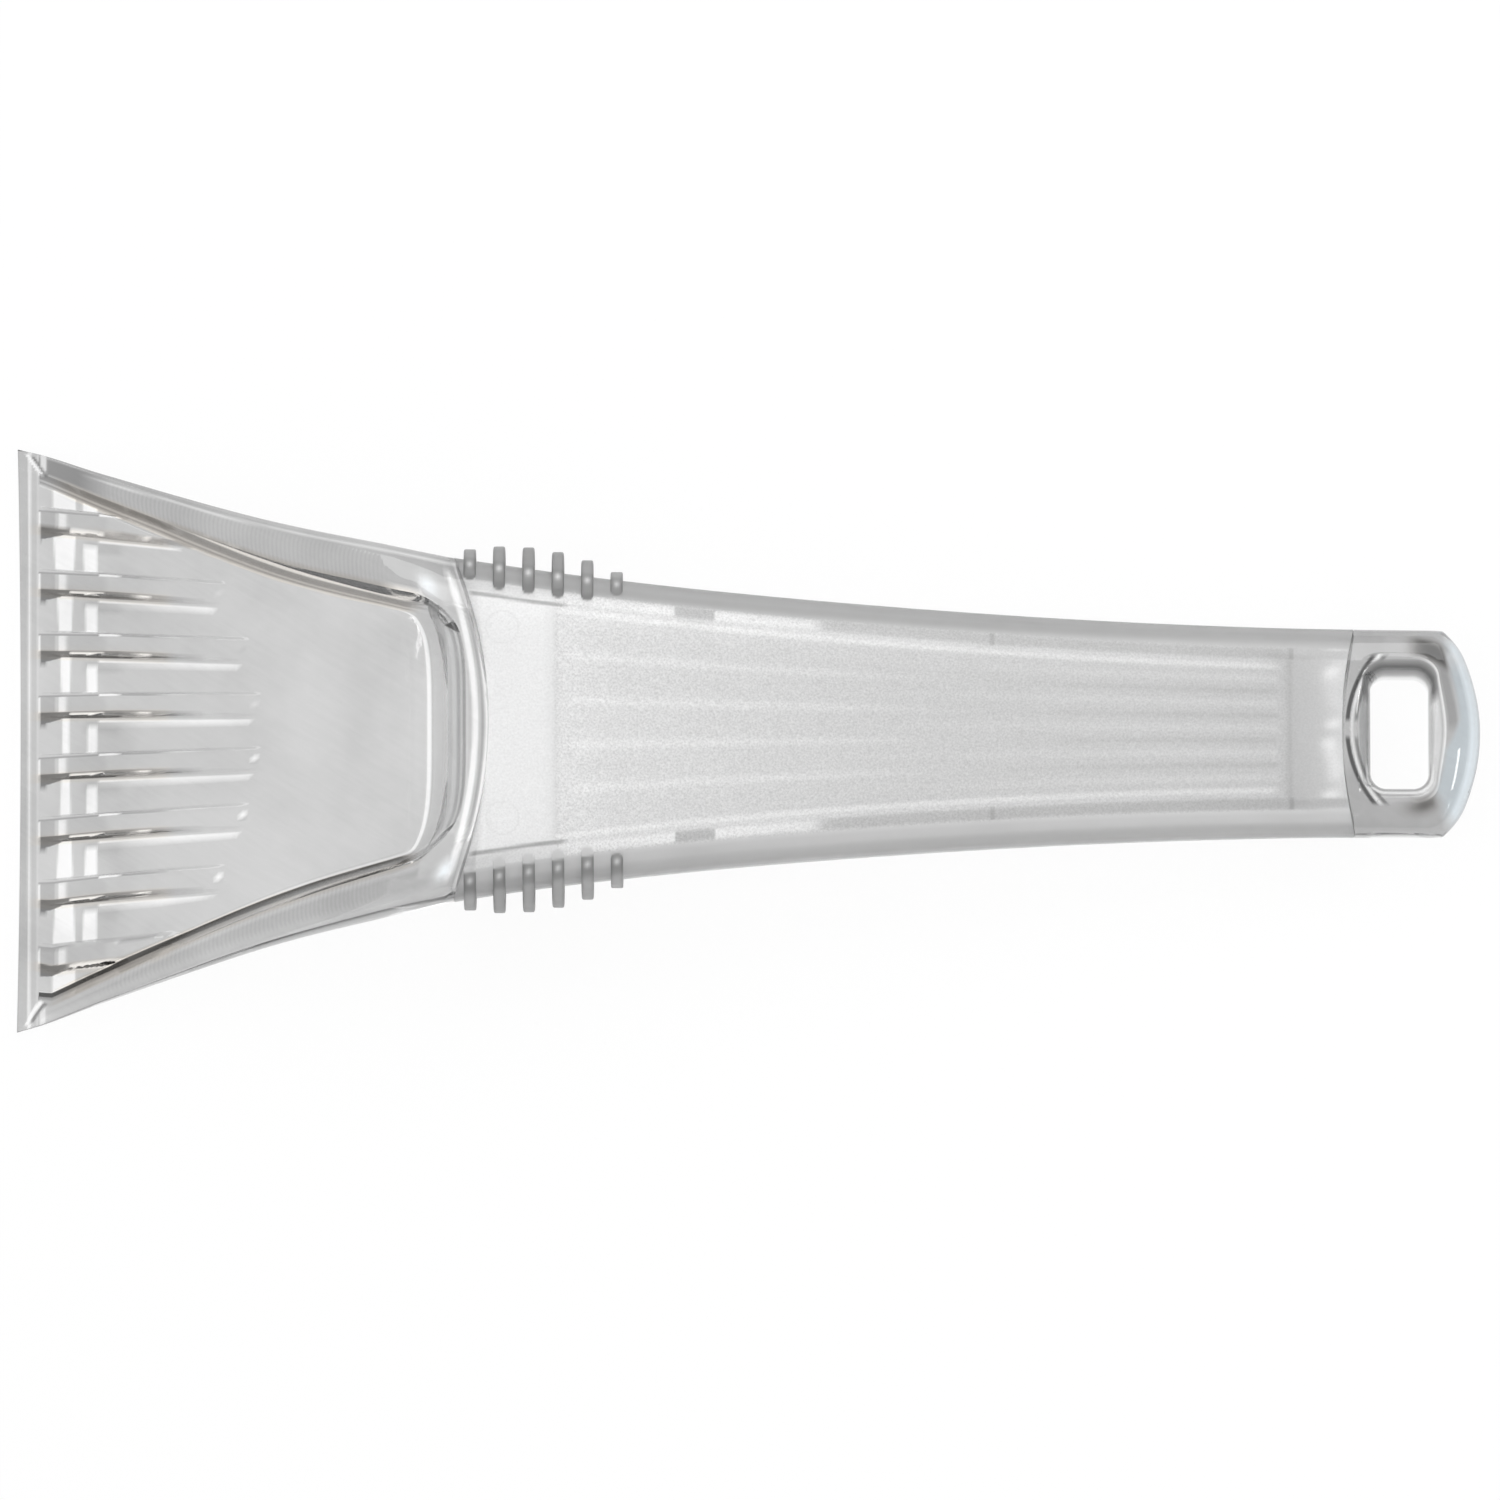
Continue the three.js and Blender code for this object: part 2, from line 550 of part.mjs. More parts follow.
/** Named mesh of a finished solid. */
function piece(name, body, material) {
  const mesh = body.getMesh();
  const geometry = new THREE.BufferGeometry();
  geometry.setAttribute('position', new THREE.Float32BufferAttribute(mesh.vertProperties, 3));
  geometry.setIndex(new THREE.Uint32BufferAttribute(mesh.triVerts, 1));
  geometry.computeVertexNormals();
  const named = new THREE.Mesh(geometry, material);
  named.name = name;
  return named;
}

const clearPlastic = () => new THREE.MeshStandardMaterial({
  color: 0xd0d2d4, roughness: 0.06, metalness: 0, transparent: true, opacity: 0.45,
});
const frostedPlastic = () => new THREE.MeshStandardMaterial({
  color: 0xd9dadb, roughness: 0.55, metalness: 0, transparent: true, opacity: 0.75,
});

const iceScraper = new THREE.Group();
iceScraper.name = 'ice_scraper';
iceScraper.add(
  piece('scraper_head', scraperHead(), clearPlastic()),
  piece('upper_handle_shell', upperHandleShell(), frostedPlastic()),
  piece('lower_handle_shell', lowerHandleShell(), frostedPlastic()),
  piece('hanging_loop', hangingLoop(), clearPlastic()),
);

export default iceScraper;
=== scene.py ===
import math

import bpy
import numpy as np
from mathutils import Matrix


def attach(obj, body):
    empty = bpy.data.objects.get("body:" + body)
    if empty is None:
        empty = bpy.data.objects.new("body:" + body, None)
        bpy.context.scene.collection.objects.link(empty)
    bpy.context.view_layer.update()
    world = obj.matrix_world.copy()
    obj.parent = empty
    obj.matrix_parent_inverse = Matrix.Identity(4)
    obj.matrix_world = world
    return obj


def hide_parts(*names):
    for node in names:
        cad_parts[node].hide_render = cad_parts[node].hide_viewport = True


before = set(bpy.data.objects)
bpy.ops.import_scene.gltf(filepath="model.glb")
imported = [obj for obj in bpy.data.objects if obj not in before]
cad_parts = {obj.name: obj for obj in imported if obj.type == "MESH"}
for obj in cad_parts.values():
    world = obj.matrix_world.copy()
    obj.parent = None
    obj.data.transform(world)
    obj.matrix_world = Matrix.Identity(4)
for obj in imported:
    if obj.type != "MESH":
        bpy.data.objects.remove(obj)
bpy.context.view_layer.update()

# Scraper head. One clear polystyrene moulding: a thin blade, a tray with eight ice ribs and two rims, and behind
# them a tongue that plugs into the handle. Moulded in a polished tool; the rims keep its cutter marks.
MM = 0.001  # sizes are written in millimetres
SEAM = 0.08  # gap between the clear pieces and the handle
SECTION_POWER = 3.2
SHARP_ANGLE = math.radians(38)
LAND = 0.55  # upright land beside the parting line
BLADE_X = -112.4
FRONT_SEAM_X = -45.0
FRONT_SEAM_BULGE = 5.4
OUTLINE = [
    (-112.4, 45.1), (-108, 43.9), (-99.5, 40.9), (-75, 33.1), (-57, 28.7), (-45, 26.3),
    (-22, 23.1), (8, 20.1), (45, 17.5), (80, 16.1), (112.4, 15.8),
]
SKIN_ABOVE = [
    (-112.4, 0.5), (-108.9, 1.3), (-90, 4.3), (-65, 8.2), (-45, 10.4),
    (-20, 10.2), (20, 9.2), (60, 7.9), (92, 6.9), (112.4, 6.2),
]
SKIN_BELOW = [
    (-112.4, 0.65), (-106, 1.6), (-85, 2.9), (-70, 3.8), (-57, 7), (-46, 10.2),
    (-35, 10.6), (0, 9.8), (40, 8.5), (92, 7), (112.4, 6),
]


def unit(value):
    """Value held between 0 and 1."""
    return np.clip(value, 0, 1)


def through(knots, x):
    """Smooth curve through (x, value) knots: a cubic between neighbours, with each knot's slope that of the
    chord from the knot before it to the knot after it. Level beyond the ends."""
    kx, ky = np.array(knots, float).T
    before = np.maximum(np.arange(len(kx)) - 1, 0)
    after = np.minimum(np.arange(len(kx)) + 1, len(kx) - 1)
    slope = (ky[after] - ky[before]) / (kx[after] - kx[before])
    i = np.clip(np.searchsorted(kx, x), 1, len(kx) - 1)
    span = kx[i] - kx[i - 1]
    t = unit((x - kx[i - 1]) / span)
    leaving = (1 - t) ** 2 * (ky[i - 1] * (1 + 2 * t) + slope[i - 1] * span * t)
    return leaving + t * t * (ky[i] * (3 - 2 * t) - slope[i] * span * (1 - t))


def half_width(x):
    """Half width of the outline in plan."""
    return through(OUTLINE, x)


def inside(x, y):
    """How far a point lies inside the outline, across the tool."""
    return half_width(x) - np.abs(y)


def parting(x):
    """Height of the parting line: 0.22 up to the bend at x = -45, 0.06 down after it, joined by a hyperbola."""
    return 14.4 + 0.08 * (x + 45) - 0.14 * (np.hypot(x + 45, 8) - 8)


def arch(v, power=SECTION_POWER):
    """Superellipse height over a share v of the half width: (1 - |v|^p)^(1/p)."""
    return np.clip(1 - np.abs(v) ** power, 0, None) ** (1 / power)


def placed(x, y, w):
    """Points at plan position x, y and at height w over the parting line."""
    return np.stack(np.broadcast_arrays(x, y, parting(x) + w), -1)


def skin(x, y, side, inset=0.0, power=SECTION_POWER):
    """Height of the outer skin over the parting line, drawn in by an inset: land + (reach - land) * arch(y / half)."""
    reach = through(SKIN_ABOVE if side > 0 else SKIN_BELOW, x) - inset
    return side * (LAND + (reach - LAND) * arch(y / (half_width(x) - inset), power))


def spaced(*stretches):
    """Stations from (start, end, count) stretches, each without its end, and the last end added."""
    parts = [np.linspace(a, b, n, endpoint=False) for a, b, n in stretches]
    return np.append(np.concatenate(parts), stretches[-1][1])


def graded(value, *stops):
    """Straight lines through (position, value) stops."""
    at, to = np.array(stops, float).T
    return np.interp(value, at, to)


def patch(value, start, end, soft=0.2):
    """1 from start to end, falling to 0 over a soft margin beyond them."""
    return unit((value - start) / soft + 1) * unit((end - value) / soft + 1)


def over(under, share, value):
    """Value laid over what is under it, by a share."""
    return under + share * (value - under)


def sheet_faces(grid):
    """Quads of a grid of vertex numbers, facing up where rows run along +X and columns along +Y."""
    return np.stack([grid[:-1, :-1], grid[1:, :-1], grid[1:, 1:], grid[:-1, 1:]], -1).reshape(-1, 4)


def wall_faces(upper, lower, first=True):
    """Quads that close two grids of vertex numbers into one body: strips along both sides, across the last rows,
    and across the first rows where these are open."""
    strips = [(lower[:, 0], upper[:, 0]), (upper[:, -1], lower[:, -1])]
    if first:
        strips.append((upper[0], lower[0]))
    strips.append((lower[-1], upper[-1]))
    return np.concatenate([sheet_faces(np.stack(pair, 1)) for pair in strips])


def moulding(name, points, faces, marks, material, node):
    """Mesh piece from points in millimetres and quads, with named values for each point as attributes."""
    mesh = bpy.data.meshes.new(name)
    mesh.from_pydata((points * MM).tolist(), [], faces.tolist())
    for key, values in marks.items():
        mesh.attributes.new(key, "FLOAT", "POINT").data.foreach_set("value", values.astype(np.float32))
    mesh.shade_smooth()
    mesh.set_sharp_from_angle(angle=SHARP_ANGLE)
    mesh.materials.append(material)
    piece = bpy.data.objects.new(name, mesh)
    bpy.context.scene.collection.objects.link(piece)
    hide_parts(node)
    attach(piece, "root")


def closed_body(upper, lower):
    """Points and quads of the closed body between two grids of points with the same shape."""
    count = upper.shape[0] * upper.shape[1]
    top = np.arange(count).reshape(upper.shape[:2])
    low = top + count
    faces = np.concatenate([sheet_faces(top), sheet_faces(low)[:, ::-1], wall_faces(top, low)])
    return np.concatenate([upper.reshape(-1, 3), lower.reshape(-1, 3)]), faces


RIB_PITCH = 9.6  # at the ribs' front ends
RIB_FRONT_X = -109.0
RIB_REAR_X = -75.3  # on the centre line
FAN_X = 160.0  # where the ribs' centre lines would meet
RIB_NUMBERS = np.arange(8) - 3.5
TRAY_RIM = [(-112.4, 3.2), (-108, 3.5), (-90, 5.3), (-69, 7.2), (-49, 7.65), (-43, 7.7)]
TRAY_FLOOR = [
    (-118, 5), (-109.2, 1.35), (-107.6, 1.008), (-106.1, 0.822), (-104.6, 0.722), (-103.1, 0.656), (-101.9, 0.585),
    (-101.1, 0.50), (-100.3, 0.432), (-99.1, 0.375), (-98.1, 0.338), (-96.3, 0.28), (-92, 0.2), (-40, -1),
]
SIDE_WALL = 2.1  # width of the tray's walls in plan
REAR_WALL = 5.9
WALL_POWER = 1.6
TRAY_SHIFT = 0.5  # to the far side


def rib_pitch(x):
    """Pitch of the ribs, which fan out from a point on the centre line, FAN_X."""
    return RIB_PITCH * (FAN_X - x) / (FAN_X - RIB_FRONT_X)


def tray_half(x):
    """Half width of the tray at its brim."""
    return half_width(x) - through(TRAY_RIM, x)


def nearest_rib(x, y):
    """Rear end of the nearest rib and the offset from its centre line, to the far side."""
    number = np.clip(np.round(y / rib_pitch(x) - 0.5) + 0.5, RIB_NUMBERS[0], RIB_NUMBERS[-1])
    return RIB_REAR_X - 0.93 * number ** 2, y - number * rib_pitch(x)


def rear_brim(share):
    """Plan position of the tray's rear brim at a share of its half width: level in the middle, with round corners."""
    v = unit(share)
    return -43.1 - 2.4 * v ** 4 - 3.4 * v ** 10 - 1.8 * v ** 24


def tray_edges(x, y):
    """How far a point lies inside the tray's side brim and its rear brim; less than 0 is outside."""
    half = tray_half(x)
    return half - np.abs(y), rear_brim(np.abs(y) / half) - x


def rib_height(x, y):
    """Height of the ribs over the tray floor: nose line and falling back line, the lower of the two rounded
    over, times a flat-topped cross profile, sunk beside the wall and cut off by a small step at the rear end."""
    rear, off = nearest_rib(x, y)
    nose = 0.9 + 0.8 * (x - RIB_FRONT_X)
    back = 0.4 + 3.6 * (rear - x) / (rear + 105.8)
    crest = (nose + back - np.sqrt((nose - back) ** 2 + 0.35)) / 2
    crest *= unit((x + 109.3) / 0.3) * unit((rear + 0.6 - x) / 0.6)
    crest *= unit((tray_edges(x, y)[0] - 0.6) / 1.8)
    t = unit((2.0 - np.abs(off)) / 0.65)
    return np.clip(crest, 0, None) * t * t * (3 - 2 * t)


def head_power(x):
    """Power of the head's cross-section: its sides stand fuller than the handle's and meet them at the seam."""
    return graded(x, (-56, 6), (-46, SECTION_POWER))


def head_top(x, y):
    """Top of the head: the skin, or inside the tray the floor, walls that curve up to the brim, and the ribs."""
    brim = skin(x, y, 1, power=head_power(x))
    side, rear = tray_edges(x, y)
    up_side = unit(1 - side / SIDE_WALL) ** WALL_POWER
    up_rear = unit(1 - rear / REAR_WALL) ** WALL_POWER
    rise = 1 - (1 - up_side) * (1 - up_rear)
    floor = through(TRAY_FLOOR, x) + rib_height(x, y)
    in_tray = floor + (brim - floor) * rise
    return np.where((side > 0) & (rear > 0), np.minimum(brim, in_tray), brim)


def far_spread(x):
    """How far the far wall's painted dark line has drawn in from the brim: it leaves it at x = -90 and opens to the
    rear.
    """
    return graded(x, (-90, 1), (-50, 1.85))


def wall_share(x, y):
    """Coordinate across the tray's wall, 0 at its foot and 1 at the brim, the larger of side and rear rounded over;
    and which wall it is: 1 the far side, 0 the rear, -1 the near side."""
    side, rear = tray_edges(x, y)
    from_side, from_rear = 1 - side / SIDE_WALL, 1 - rear / REAR_WALL
    share = (from_side + from_rear + np.sqrt((from_side - from_rear) ** 2 + 0.05)) / 2
    which = np.sign(y) * unit(0.5 + (from_side - from_rear) / 0.5)
    drawn = 0.42 + (share - 0.42) * graded(x, (-108, 1.7), (-90, 1.4), (-70, 1))
    share = over(share, unit(-which), drawn)
    return over(share, unit(which), share * far_spread(x)), which


def rib_painted_light_and_shade(t, x, y):
    """Painted light and shade of the ribs, laid over the tint under them: painted dark noses, bright cells where the
    painted bands pass, dark near flanks with painted glints, a thin far edge, a painted line of light on the floor
    beside them and a painted facet of light at the rear end."""
    end, off = nearest_rib(x, y)
    near = -off
    on_rib = patch(np.abs(off), 0, 1.2, 0.1) * patch(x, -109.1, end)
    t = over(t, on_rib * patch(x, -108.8, -106.6), 0.5)
    t = over(t, on_rib * patch(x, -105.9, -104.8), 0.9)
    t = over(t, on_rib * patch(x, -109.2, -108.9), 0.95)
    t = over(t, on_rib * patch(x, -104.2, -99.1, 1), 0.56)
    fade = graded(x, (-108.8, 0.16), (-100.1, 0.24), (-92, 0.4), (-84, 0.58))
    last = unit(np.abs(y) - 3.2 * rib_pitch(x)) * unit((x + 105) / 2)
    t = over(t, patch(near, 1.2, 1.95, 0.1) * patch(x, -108.8, -84), over(fade, last, np.where(y < 0, 0.85, 0.4)))
    glint = patch(x, -104.1, -99.1) + patch(x, -94.1, -92.3)
    t = over(t, patch(near, 1.4, 1.7, 0.1) * glint, 1)
    t = over(t, patch(near, 1.8, 1.8 + np.clip(-104.6 - x, 0, 4) * 0.3, 0.1) * patch(x, -108.8, -104.9), 0.2)
    t = over(t, patch(off, 1.2, 1.4, 0.1) * patch(x, -108.8, -92, 4), 0.42)
    t = over(t, patch(off, 1.2, 1.45, 0.1) * patch(x, -99.6, -97), 1)
    t = over(t, patch(near, 2.4, 2.6, 0.18) * patch(x, -99.6, end - 1.2, 0.4), 0.93)
    t = over(t, patch(np.abs(off + 0.4), 0, 0.2, 0.15) * patch(x, end - 0.6, end - 0.1, 0.15), 0.36)
    return over(t, patch(np.abs(off - 0.3), 0, 0.25, 0.15) * patch(x, end - 0.3, end, 0.15), 1)


def rim_tint_and_painted_light(x, y):
    """Tint of the rims with painted light and shade: the far one with a painted bright line and a painted dark front
    end, the near one paler to its outline and beside the brim."""
    edge = inside(x, y)
    far = graded(edge, (0, 0.45), (0.3, 0.5), (1.15, 0.5), (1.35, 0.75), (1.55, 0.75), (1.75, 0.5), (9, 0.47))
    far = over(far, patch(-tray_edges(x, y)[0], 0.1, 0.7, 0.15) * patch(x, -66, -50, 4), 0.66)
    far = over(far, patch(x, -109, -103, 5) * patch(edge, 0.7, 9, 0.3), 0.3)
    near = graded(edge, (0, 0.58), (1.5, 0.57), (3.2, 0.48), (9, 0.46))
    near = over(near, patch(-tray_edges(x, y)[0], 0.15, 1.2, 0.2), 0.56)
    return over(np.where(y > 0, far, near), patch(x, -108.7, -108.1, 0.3), 0.8)


def before_seam(x, y):
    """How far a point lies before the head's seam, and its share of the half width."""
    v = np.clip(y / half_width(x), -1, 1)
    return FRONT_SEAM_X - SEAM + FRONT_SEAM_BULGE * (1 - v * v) - x, v


def painted_shoulder_highlight(x, y):
    """Painted highlight on each shoulder of the head, a Gaussian in front of the seam: 6 mm before it and 0.78 of the
    way out on the far side, 3 mm and 0.84 on the near side."""
    lip, v = before_seam(x, y)
    ahead, out = np.where(y > 0, 6.0, 3.0), np.where(y > 0, 0.78, 0.84)
    return np.exp(-((lip - ahead) / 1.3) ** 2 - ((np.abs(v) - out) / 0.05) ** 2)


def head_cast(x, y):
    """Painted cast of the light in the head: warm (-1) in the tray's side walls and the ribs' near flanks, cool (1) on
    the shoulders' painted highlights."""
    off = nearest_rib(x, y)[1]
    walls = patch(tray_edges(x, y)[0], 0, 2, 0.2) * np.abs(wall_share(x, y)[1]) * unit((x + 108) / 4)
    ribs = 0.7 * patch(-off, 1.1, 2.3, 0.3) * patch(x, -109, -90, 2)
    return 0.6 * painted_shoulder_highlight(x, y) - np.maximum(walls, ribs)


def head_tint_and_painted_light(x, y):
    """Tint of the head with painted light and shade laid over it: the floor with painted bright bands across it behind
    the blade, the ribs, painted shade on the walls with a light band and a dark line along the far one, the rims,
    painted light and dark lines along the rear lip, the shoulders' painted highlights, and the blade with a painted
    bright line and a painted fold of light and shade at its corners."""
    side, rear = tray_edges(x, y)
    off = nearest_rib(x, y)[1]
    outer = unit(np.abs(y) / 32) ** 1.5
    open_floor = patch(np.abs(off), 2.1, 9)
    t = graded(x, (-109, 0.64), (-96.5, 0.60), (-84, 0.62), (-70, 0.645))
    t = over(t, patch(-off, 2.9, 4.2, 0.6) * patch(x, -101.2, -97.1, 1.5), 0.52)
    t = over(t, patch(x, -105.3 - 1.5 * outer, -104.5 + 1.0 * outer, 0.25) * open_floor, 1)
    t = over(t, patch(x, -101.4 - 0.8 * outer, -100.2, 0.25) * open_floor * (1 - patch(-off, 0, 3.0, 0.3)), 1)
    t = rib_painted_light_and_shade(t, x, y)
    on_side = patch(1 - side / SIDE_WALL, 0.2, 1, 0.1)
    t = over(t, on_side, 0.5)
    spread = far_spread(x)
    t = over(t, (y > 0) * patch((1 - side / SIDE_WALL) * spread, 1.06, spread - 0.1, 0.07), 0.9)
    t = over(t, (y > 0) * patch(side, -0.1, 0.06, 0.05) * unit((x + 90) / 4), 0.4)
    t = over(t, (1 - on_side) * patch(1 - rear / REAR_WALL, 0.15, 1, 0.1), 0.64)
    t = np.where(side < 0, rim_tint_and_painted_light(x, y), t)
    lip, v = before_seam(x, y)
    t = over(t, unit(np.minimum(-rear, side + 3) / 0.4), 0.6)
    t = over(t, patch(lip, 1.7, 2.3, 0.3) * patch(np.abs(v), 0, 0.86, 0.06), 1)
    t = over(t, patch(lip, 0.8, 1.0, 0.25) * patch(np.abs(v), 0, 0.9, 0.06), 0.45)
    t = over(t, patch(lip, 0.2, 0.4, 0.15) * patch(np.abs(v), 0, 0.9, 0.06), 1)
    t = over(t, painted_shoulder_highlight(x, y), 1)
    blade = graded(
        x, (-112.4, 0.44), (-112.1, 0.54), (-110.85, 0.54), (-110.65, 0.85), (-110.45, 0.85), (-110.25, 0.58),
        (-109.4, 0.58), (-109.2, 0.72), (-108.9, 0.7),
    )
    t = np.where(x < -109.1, blade, t)
    fold = x + 109.8 + 0.6 * (np.abs(y) - 42.4)
    t = over(t, patch(fold, -0.3, 0.1, 0.15) * patch(np.abs(y), 40.4, 44, 0.4), 0.98)
    return over(t, patch(fold, 0.35, 0.75, 0.15) * patch(np.abs(y), 40.4, 43.6, 0.4), 0.26)


FAN_COLUMN = 2.72
BRIM_COLUMN = 4.505
BEND_X = -60.0  # from here to the seam the head's rows bend with it
LIP_ROWS = 14  # rows between the tray's rear brim and the seam
BRIM_ROUNDS = 4
HEAD_TONGUE = 5.9  # how far inside the outline the tongue's sides lie


def head_columns(x, k):
    """Half of the head's columns: y follows the ribs' fan up to FAN_COLUMN and closes up to the brim at BRIM_COLUMN;
    columns past that share out the rim, closer together towards its side."""
    half = tray_half(x)
    fan = FAN_COLUMN * rib_pitch(x)
    held = 0.86 * half
    a = (fan + held - np.sqrt((fan - held) ** 2 + 0.4)) / 2
    lead = np.clip(a / FAN_COLUMN * (BRIM_COLUMN - FAN_COLUMN) / (half - a), None, 1.9)
    t = unit((k - FAN_COLUMN) / (BRIM_COLUMN - FAN_COLUMN))
    inner = np.where(k < FAN_COLUMN, a * k / FAN_COLUMN, a + (half - a) * (lead * t + (1 - lead) * t * t))
    past = unit(k - BRIM_COLUMN)
    return inner + (half_width(x) - half) * (1 - (1 - past) ** 2.2)


def tongue(x, v, margin):
    """Upper and lower sheet of a tongue inside the handle: a margin inside the outline, and drawn in past the shells'
    walls and a clearance, by 2.3 above and 2.7 below."""
    y = v * (half_width(x) - margin)
    return placed(x, y, skin(x, y, 1, 2.3)), placed(x, y, skin(x, y, -1, 2.7))


def marked(values, rest, count):
    """Values of a piece's first points, and one value for the rest of them."""
    return np.append(values, np.full(count - values.size, float(rest)))


offsets = np.array([
    0, 0.9, 1.12, 1.25, 1.4, 1.55, 1.7, 1.85, 2.0, 2.2, 2.35, 2.5, 2.65, 2.85, 3.9, RIB_PITCH / 2,
]) / RIB_PITCH
half_k = np.unique(np.round(np.concatenate([
    np.concatenate([n - offsets, n + offsets]) for n in RIB_NUMBERS[4:]
] + [np.linspace(3.8, 4, 11), np.linspace(4, BRIM_COLUMN, 20), BRIM_COLUMN + np.linspace(0, 1, 16)]), 5))
half_k = half_k[half_k > 1e-4]
k = np.concatenate([-half_k[::-1], [0.0], half_k])[None, :]
head_end = FRONT_SEAM_X - SEAM
bend = FRONT_SEAM_BULGE / (head_end - BEND_X)
brim_row = (rear_brim(0) + BEND_X * bend) / (1 + bend)
station = spaced(
    (BLADE_X, -97.0, 54), (-97.0, -73.0, 26), (-73.0, BEND_X, 9), (BEND_X, brim_row, 36),
    (brim_row, head_end, LIP_ROWS),
)[:, None]
v = np.sign(k) * head_columns(station, np.abs(k)) / half_width(station)

# One row is moved onto the rear brim. Its place and its width depend on each other, so this takes a few rounds.
brim_v = v[-LIP_ROWS - 1:-LIP_ROWS]
brim_x = rear_brim(0)
for step in range(BRIM_ROUNDS):
    brim_x = rear_brim(np.abs(brim_v) * half_width(brim_x) / tray_half(brim_x))
flat = 1 - brim_v ** 2
brim_shift = (brim_x + BEND_X * bend * flat) / (1 + bend * flat) - brim_row
station = station + brim_shift * graded(station, (BEND_X, 0), (brim_row, 1), (head_end, 0))

# The blade's edge is hollow by half a millimetre, and the rear rows bulge with the seam.
hollow = 0.5 * np.clip(1 - (station - BLADE_X) / 2.5, 0, None)
bulge = bend * np.clip(station - BEND_X, 0, None)
x = station + (1 - v * v) * (hollow + bulge)
y = v * half_width(x)

# The tray lies a little to the far side, but its near wall further out. Both run out at the outline and the seam.
outward = graded(x, (-110, 0), (-107, 1.7), (-90, 2.0), (-70, 2.6), (-50, 2.2)) * unit(-y / tray_half(x)) ** 3
shift = (TRAY_SHIFT - outward) * unit((FRONT_SEAM_X - x) / 6)
shift = shift * unit(inside(x, y) / through(TRAY_RIM, x))
land = np.clip(0.2 + (x - BLADE_X) * 0.015, None, LAND)
blade_line = 0.12 * np.exp(-((x + 110.55) / 0.22) ** 2)
head_upper = placed(x, y + shift, head_top(x, y) + blade_line)
head_lower = placed(x, y, -(land + (through(SKIN_BELOW, x) - land) * arch(v, head_power(x))))

plug_x = np.maximum(np.array([-40.1, -36, -33, -29.6])[:, None], x[-1:] + 0.01)
plug_upper, plug_lower = tongue(plug_x, v[-1:], HEAD_TONGUE)
head_points, head_faces = closed_body(
    np.concatenate([head_upper, plug_upper]), np.concatenate([head_lower, plug_lower])
)

share, which = wall_share(x, y)
on_blade = x < RIB_FRONT_X
count = len(head_points)
# Attributes: the tint with painted light and shade, squared; where a point lies on the walls, for their painted lines;
# the rims' cutter marks; and the painted cast of the light.
head_marks = {
    "tint_and_painted_light": marked(head_tint_and_painted_light(x, y) ** 2, 1, count),
    "wall": marked(np.where(on_blade, np.where(share > 1, 2, -1), np.clip(share, -1, 2)), -1, count),
    "which": marked(np.where(on_blade, 0, which), 0, count),
    "rim": marked(patch(np.abs(k), 4.52, 4.9, 0.06) * patch(x, -96, -60, 6), 0, count),
    "pass": marked(x - 6 * (np.abs(k) - 4.72) ** 2, 0, count),
    "cool": marked(head_cast(x, y), 0, count),
}


def node_of(owner, kind, *feeds, **values):
    """New shader node of a material or world: its input sockets, or for other names its properties, set, and its
    inputs fed by (input, output socket) pairs."""
    made = owner.node_tree.nodes.new(kind)
    for key, value in values.items():
        socket = made.inputs.get(key.replace("_", " "))
        if socket is None:
            setattr(made, key, value)
        else:
            socket.default_value = value
    for place, source in feeds:
        owner.node_tree.links.new(source, made.inputs[place])
    return made


def attribute(owner, name):
    """Value of a point attribute."""
    return node_of(owner, "ShaderNodeAttribute", attribute_name=name).outputs["Fac"]


def chained(owner, operation, first, *others):
    """Value sockets, or plain numbers after the first, joined one after another by a math operation."""
    for other in others:
        made = node_of(owner, "ShaderNodeMath", (0, first), operation=operation)
        if isinstance(other, float):
            made.inputs[1].default_value = other
        else:
            owner.node_tree.links.new(other, made.inputs[1])
        first = made.outputs[0]
    return first


def absolute(owner, value):
    """Size of a value without its sign."""
    return node_of(owner, "ShaderNodeMath", (0, value), operation="ABSOLUTE").outputs[0]


def ranged(owner, value, span, to=(0.0, 1.0), **values):
    """Value mapped from one span to another."""
    made = node_of(
        owner, "ShaderNodeMapRange", ("Value", value),
        From_Min=span[0], From_Max=span[1], To_Min=to[0], To_Max=to[1], **values,
    )
    return made.outputs["Result"]


def noise(owner, place, scale, detail, **values):
    """Noise at a place, about 0.5 on average."""
    made = node_of(owner, "ShaderNodeTexNoise", ("Vector", place), Scale=scale, Detail=detail, **values)
    return made.outputs["Fac"]


def ramp_of(owner, value, stops):
    """Colours along a value, straight between (position, colour) stops."""
    made = node_of(owner, "ShaderNodeValToRGB", ("Fac", value))
    elements = made.color_ramp.elements
    for position, colour in stops[1:-1]:
        elements.new(position)
    for element, (position, colour) in zip(elements, stops):
        element.position = position
        element.color = (*colour, 1)
    return made.outputs["Color"]


def body_colour(owner, from_facing, at_edge):
    """Colour of a face: its tint with painted light and shade, falling to a share of it where the face is seen edge-on,
    as painted shade for the long way through the plastic and for the dark edges that refraction gives."""
    facing = node_of(owner, "ShaderNodeLayerWeight", Blend=0.5)
    depth = ranged(owner, facing.outputs["Facing"], (from_facing, 1.0), (1.0, at_edge))
    return chained(owner, "MULTIPLY", attribute(owner, "tint_and_painted_light"), depth)


def new_plastic(name, transmission, ior):
    """New plastic material, its shader, and the place on the object that its patterns read."""
    made = bpy.data.materials.new(name)
    made.use_nodes = True
    shader = made.node_tree.nodes["Principled BSDF"]
    shader.inputs["Transmission Weight"].default_value = transmission
    shader.inputs["IOR"].default_value = ior
    return made, shader, node_of(made, "ShaderNodeTexCoord").outputs["Object"]


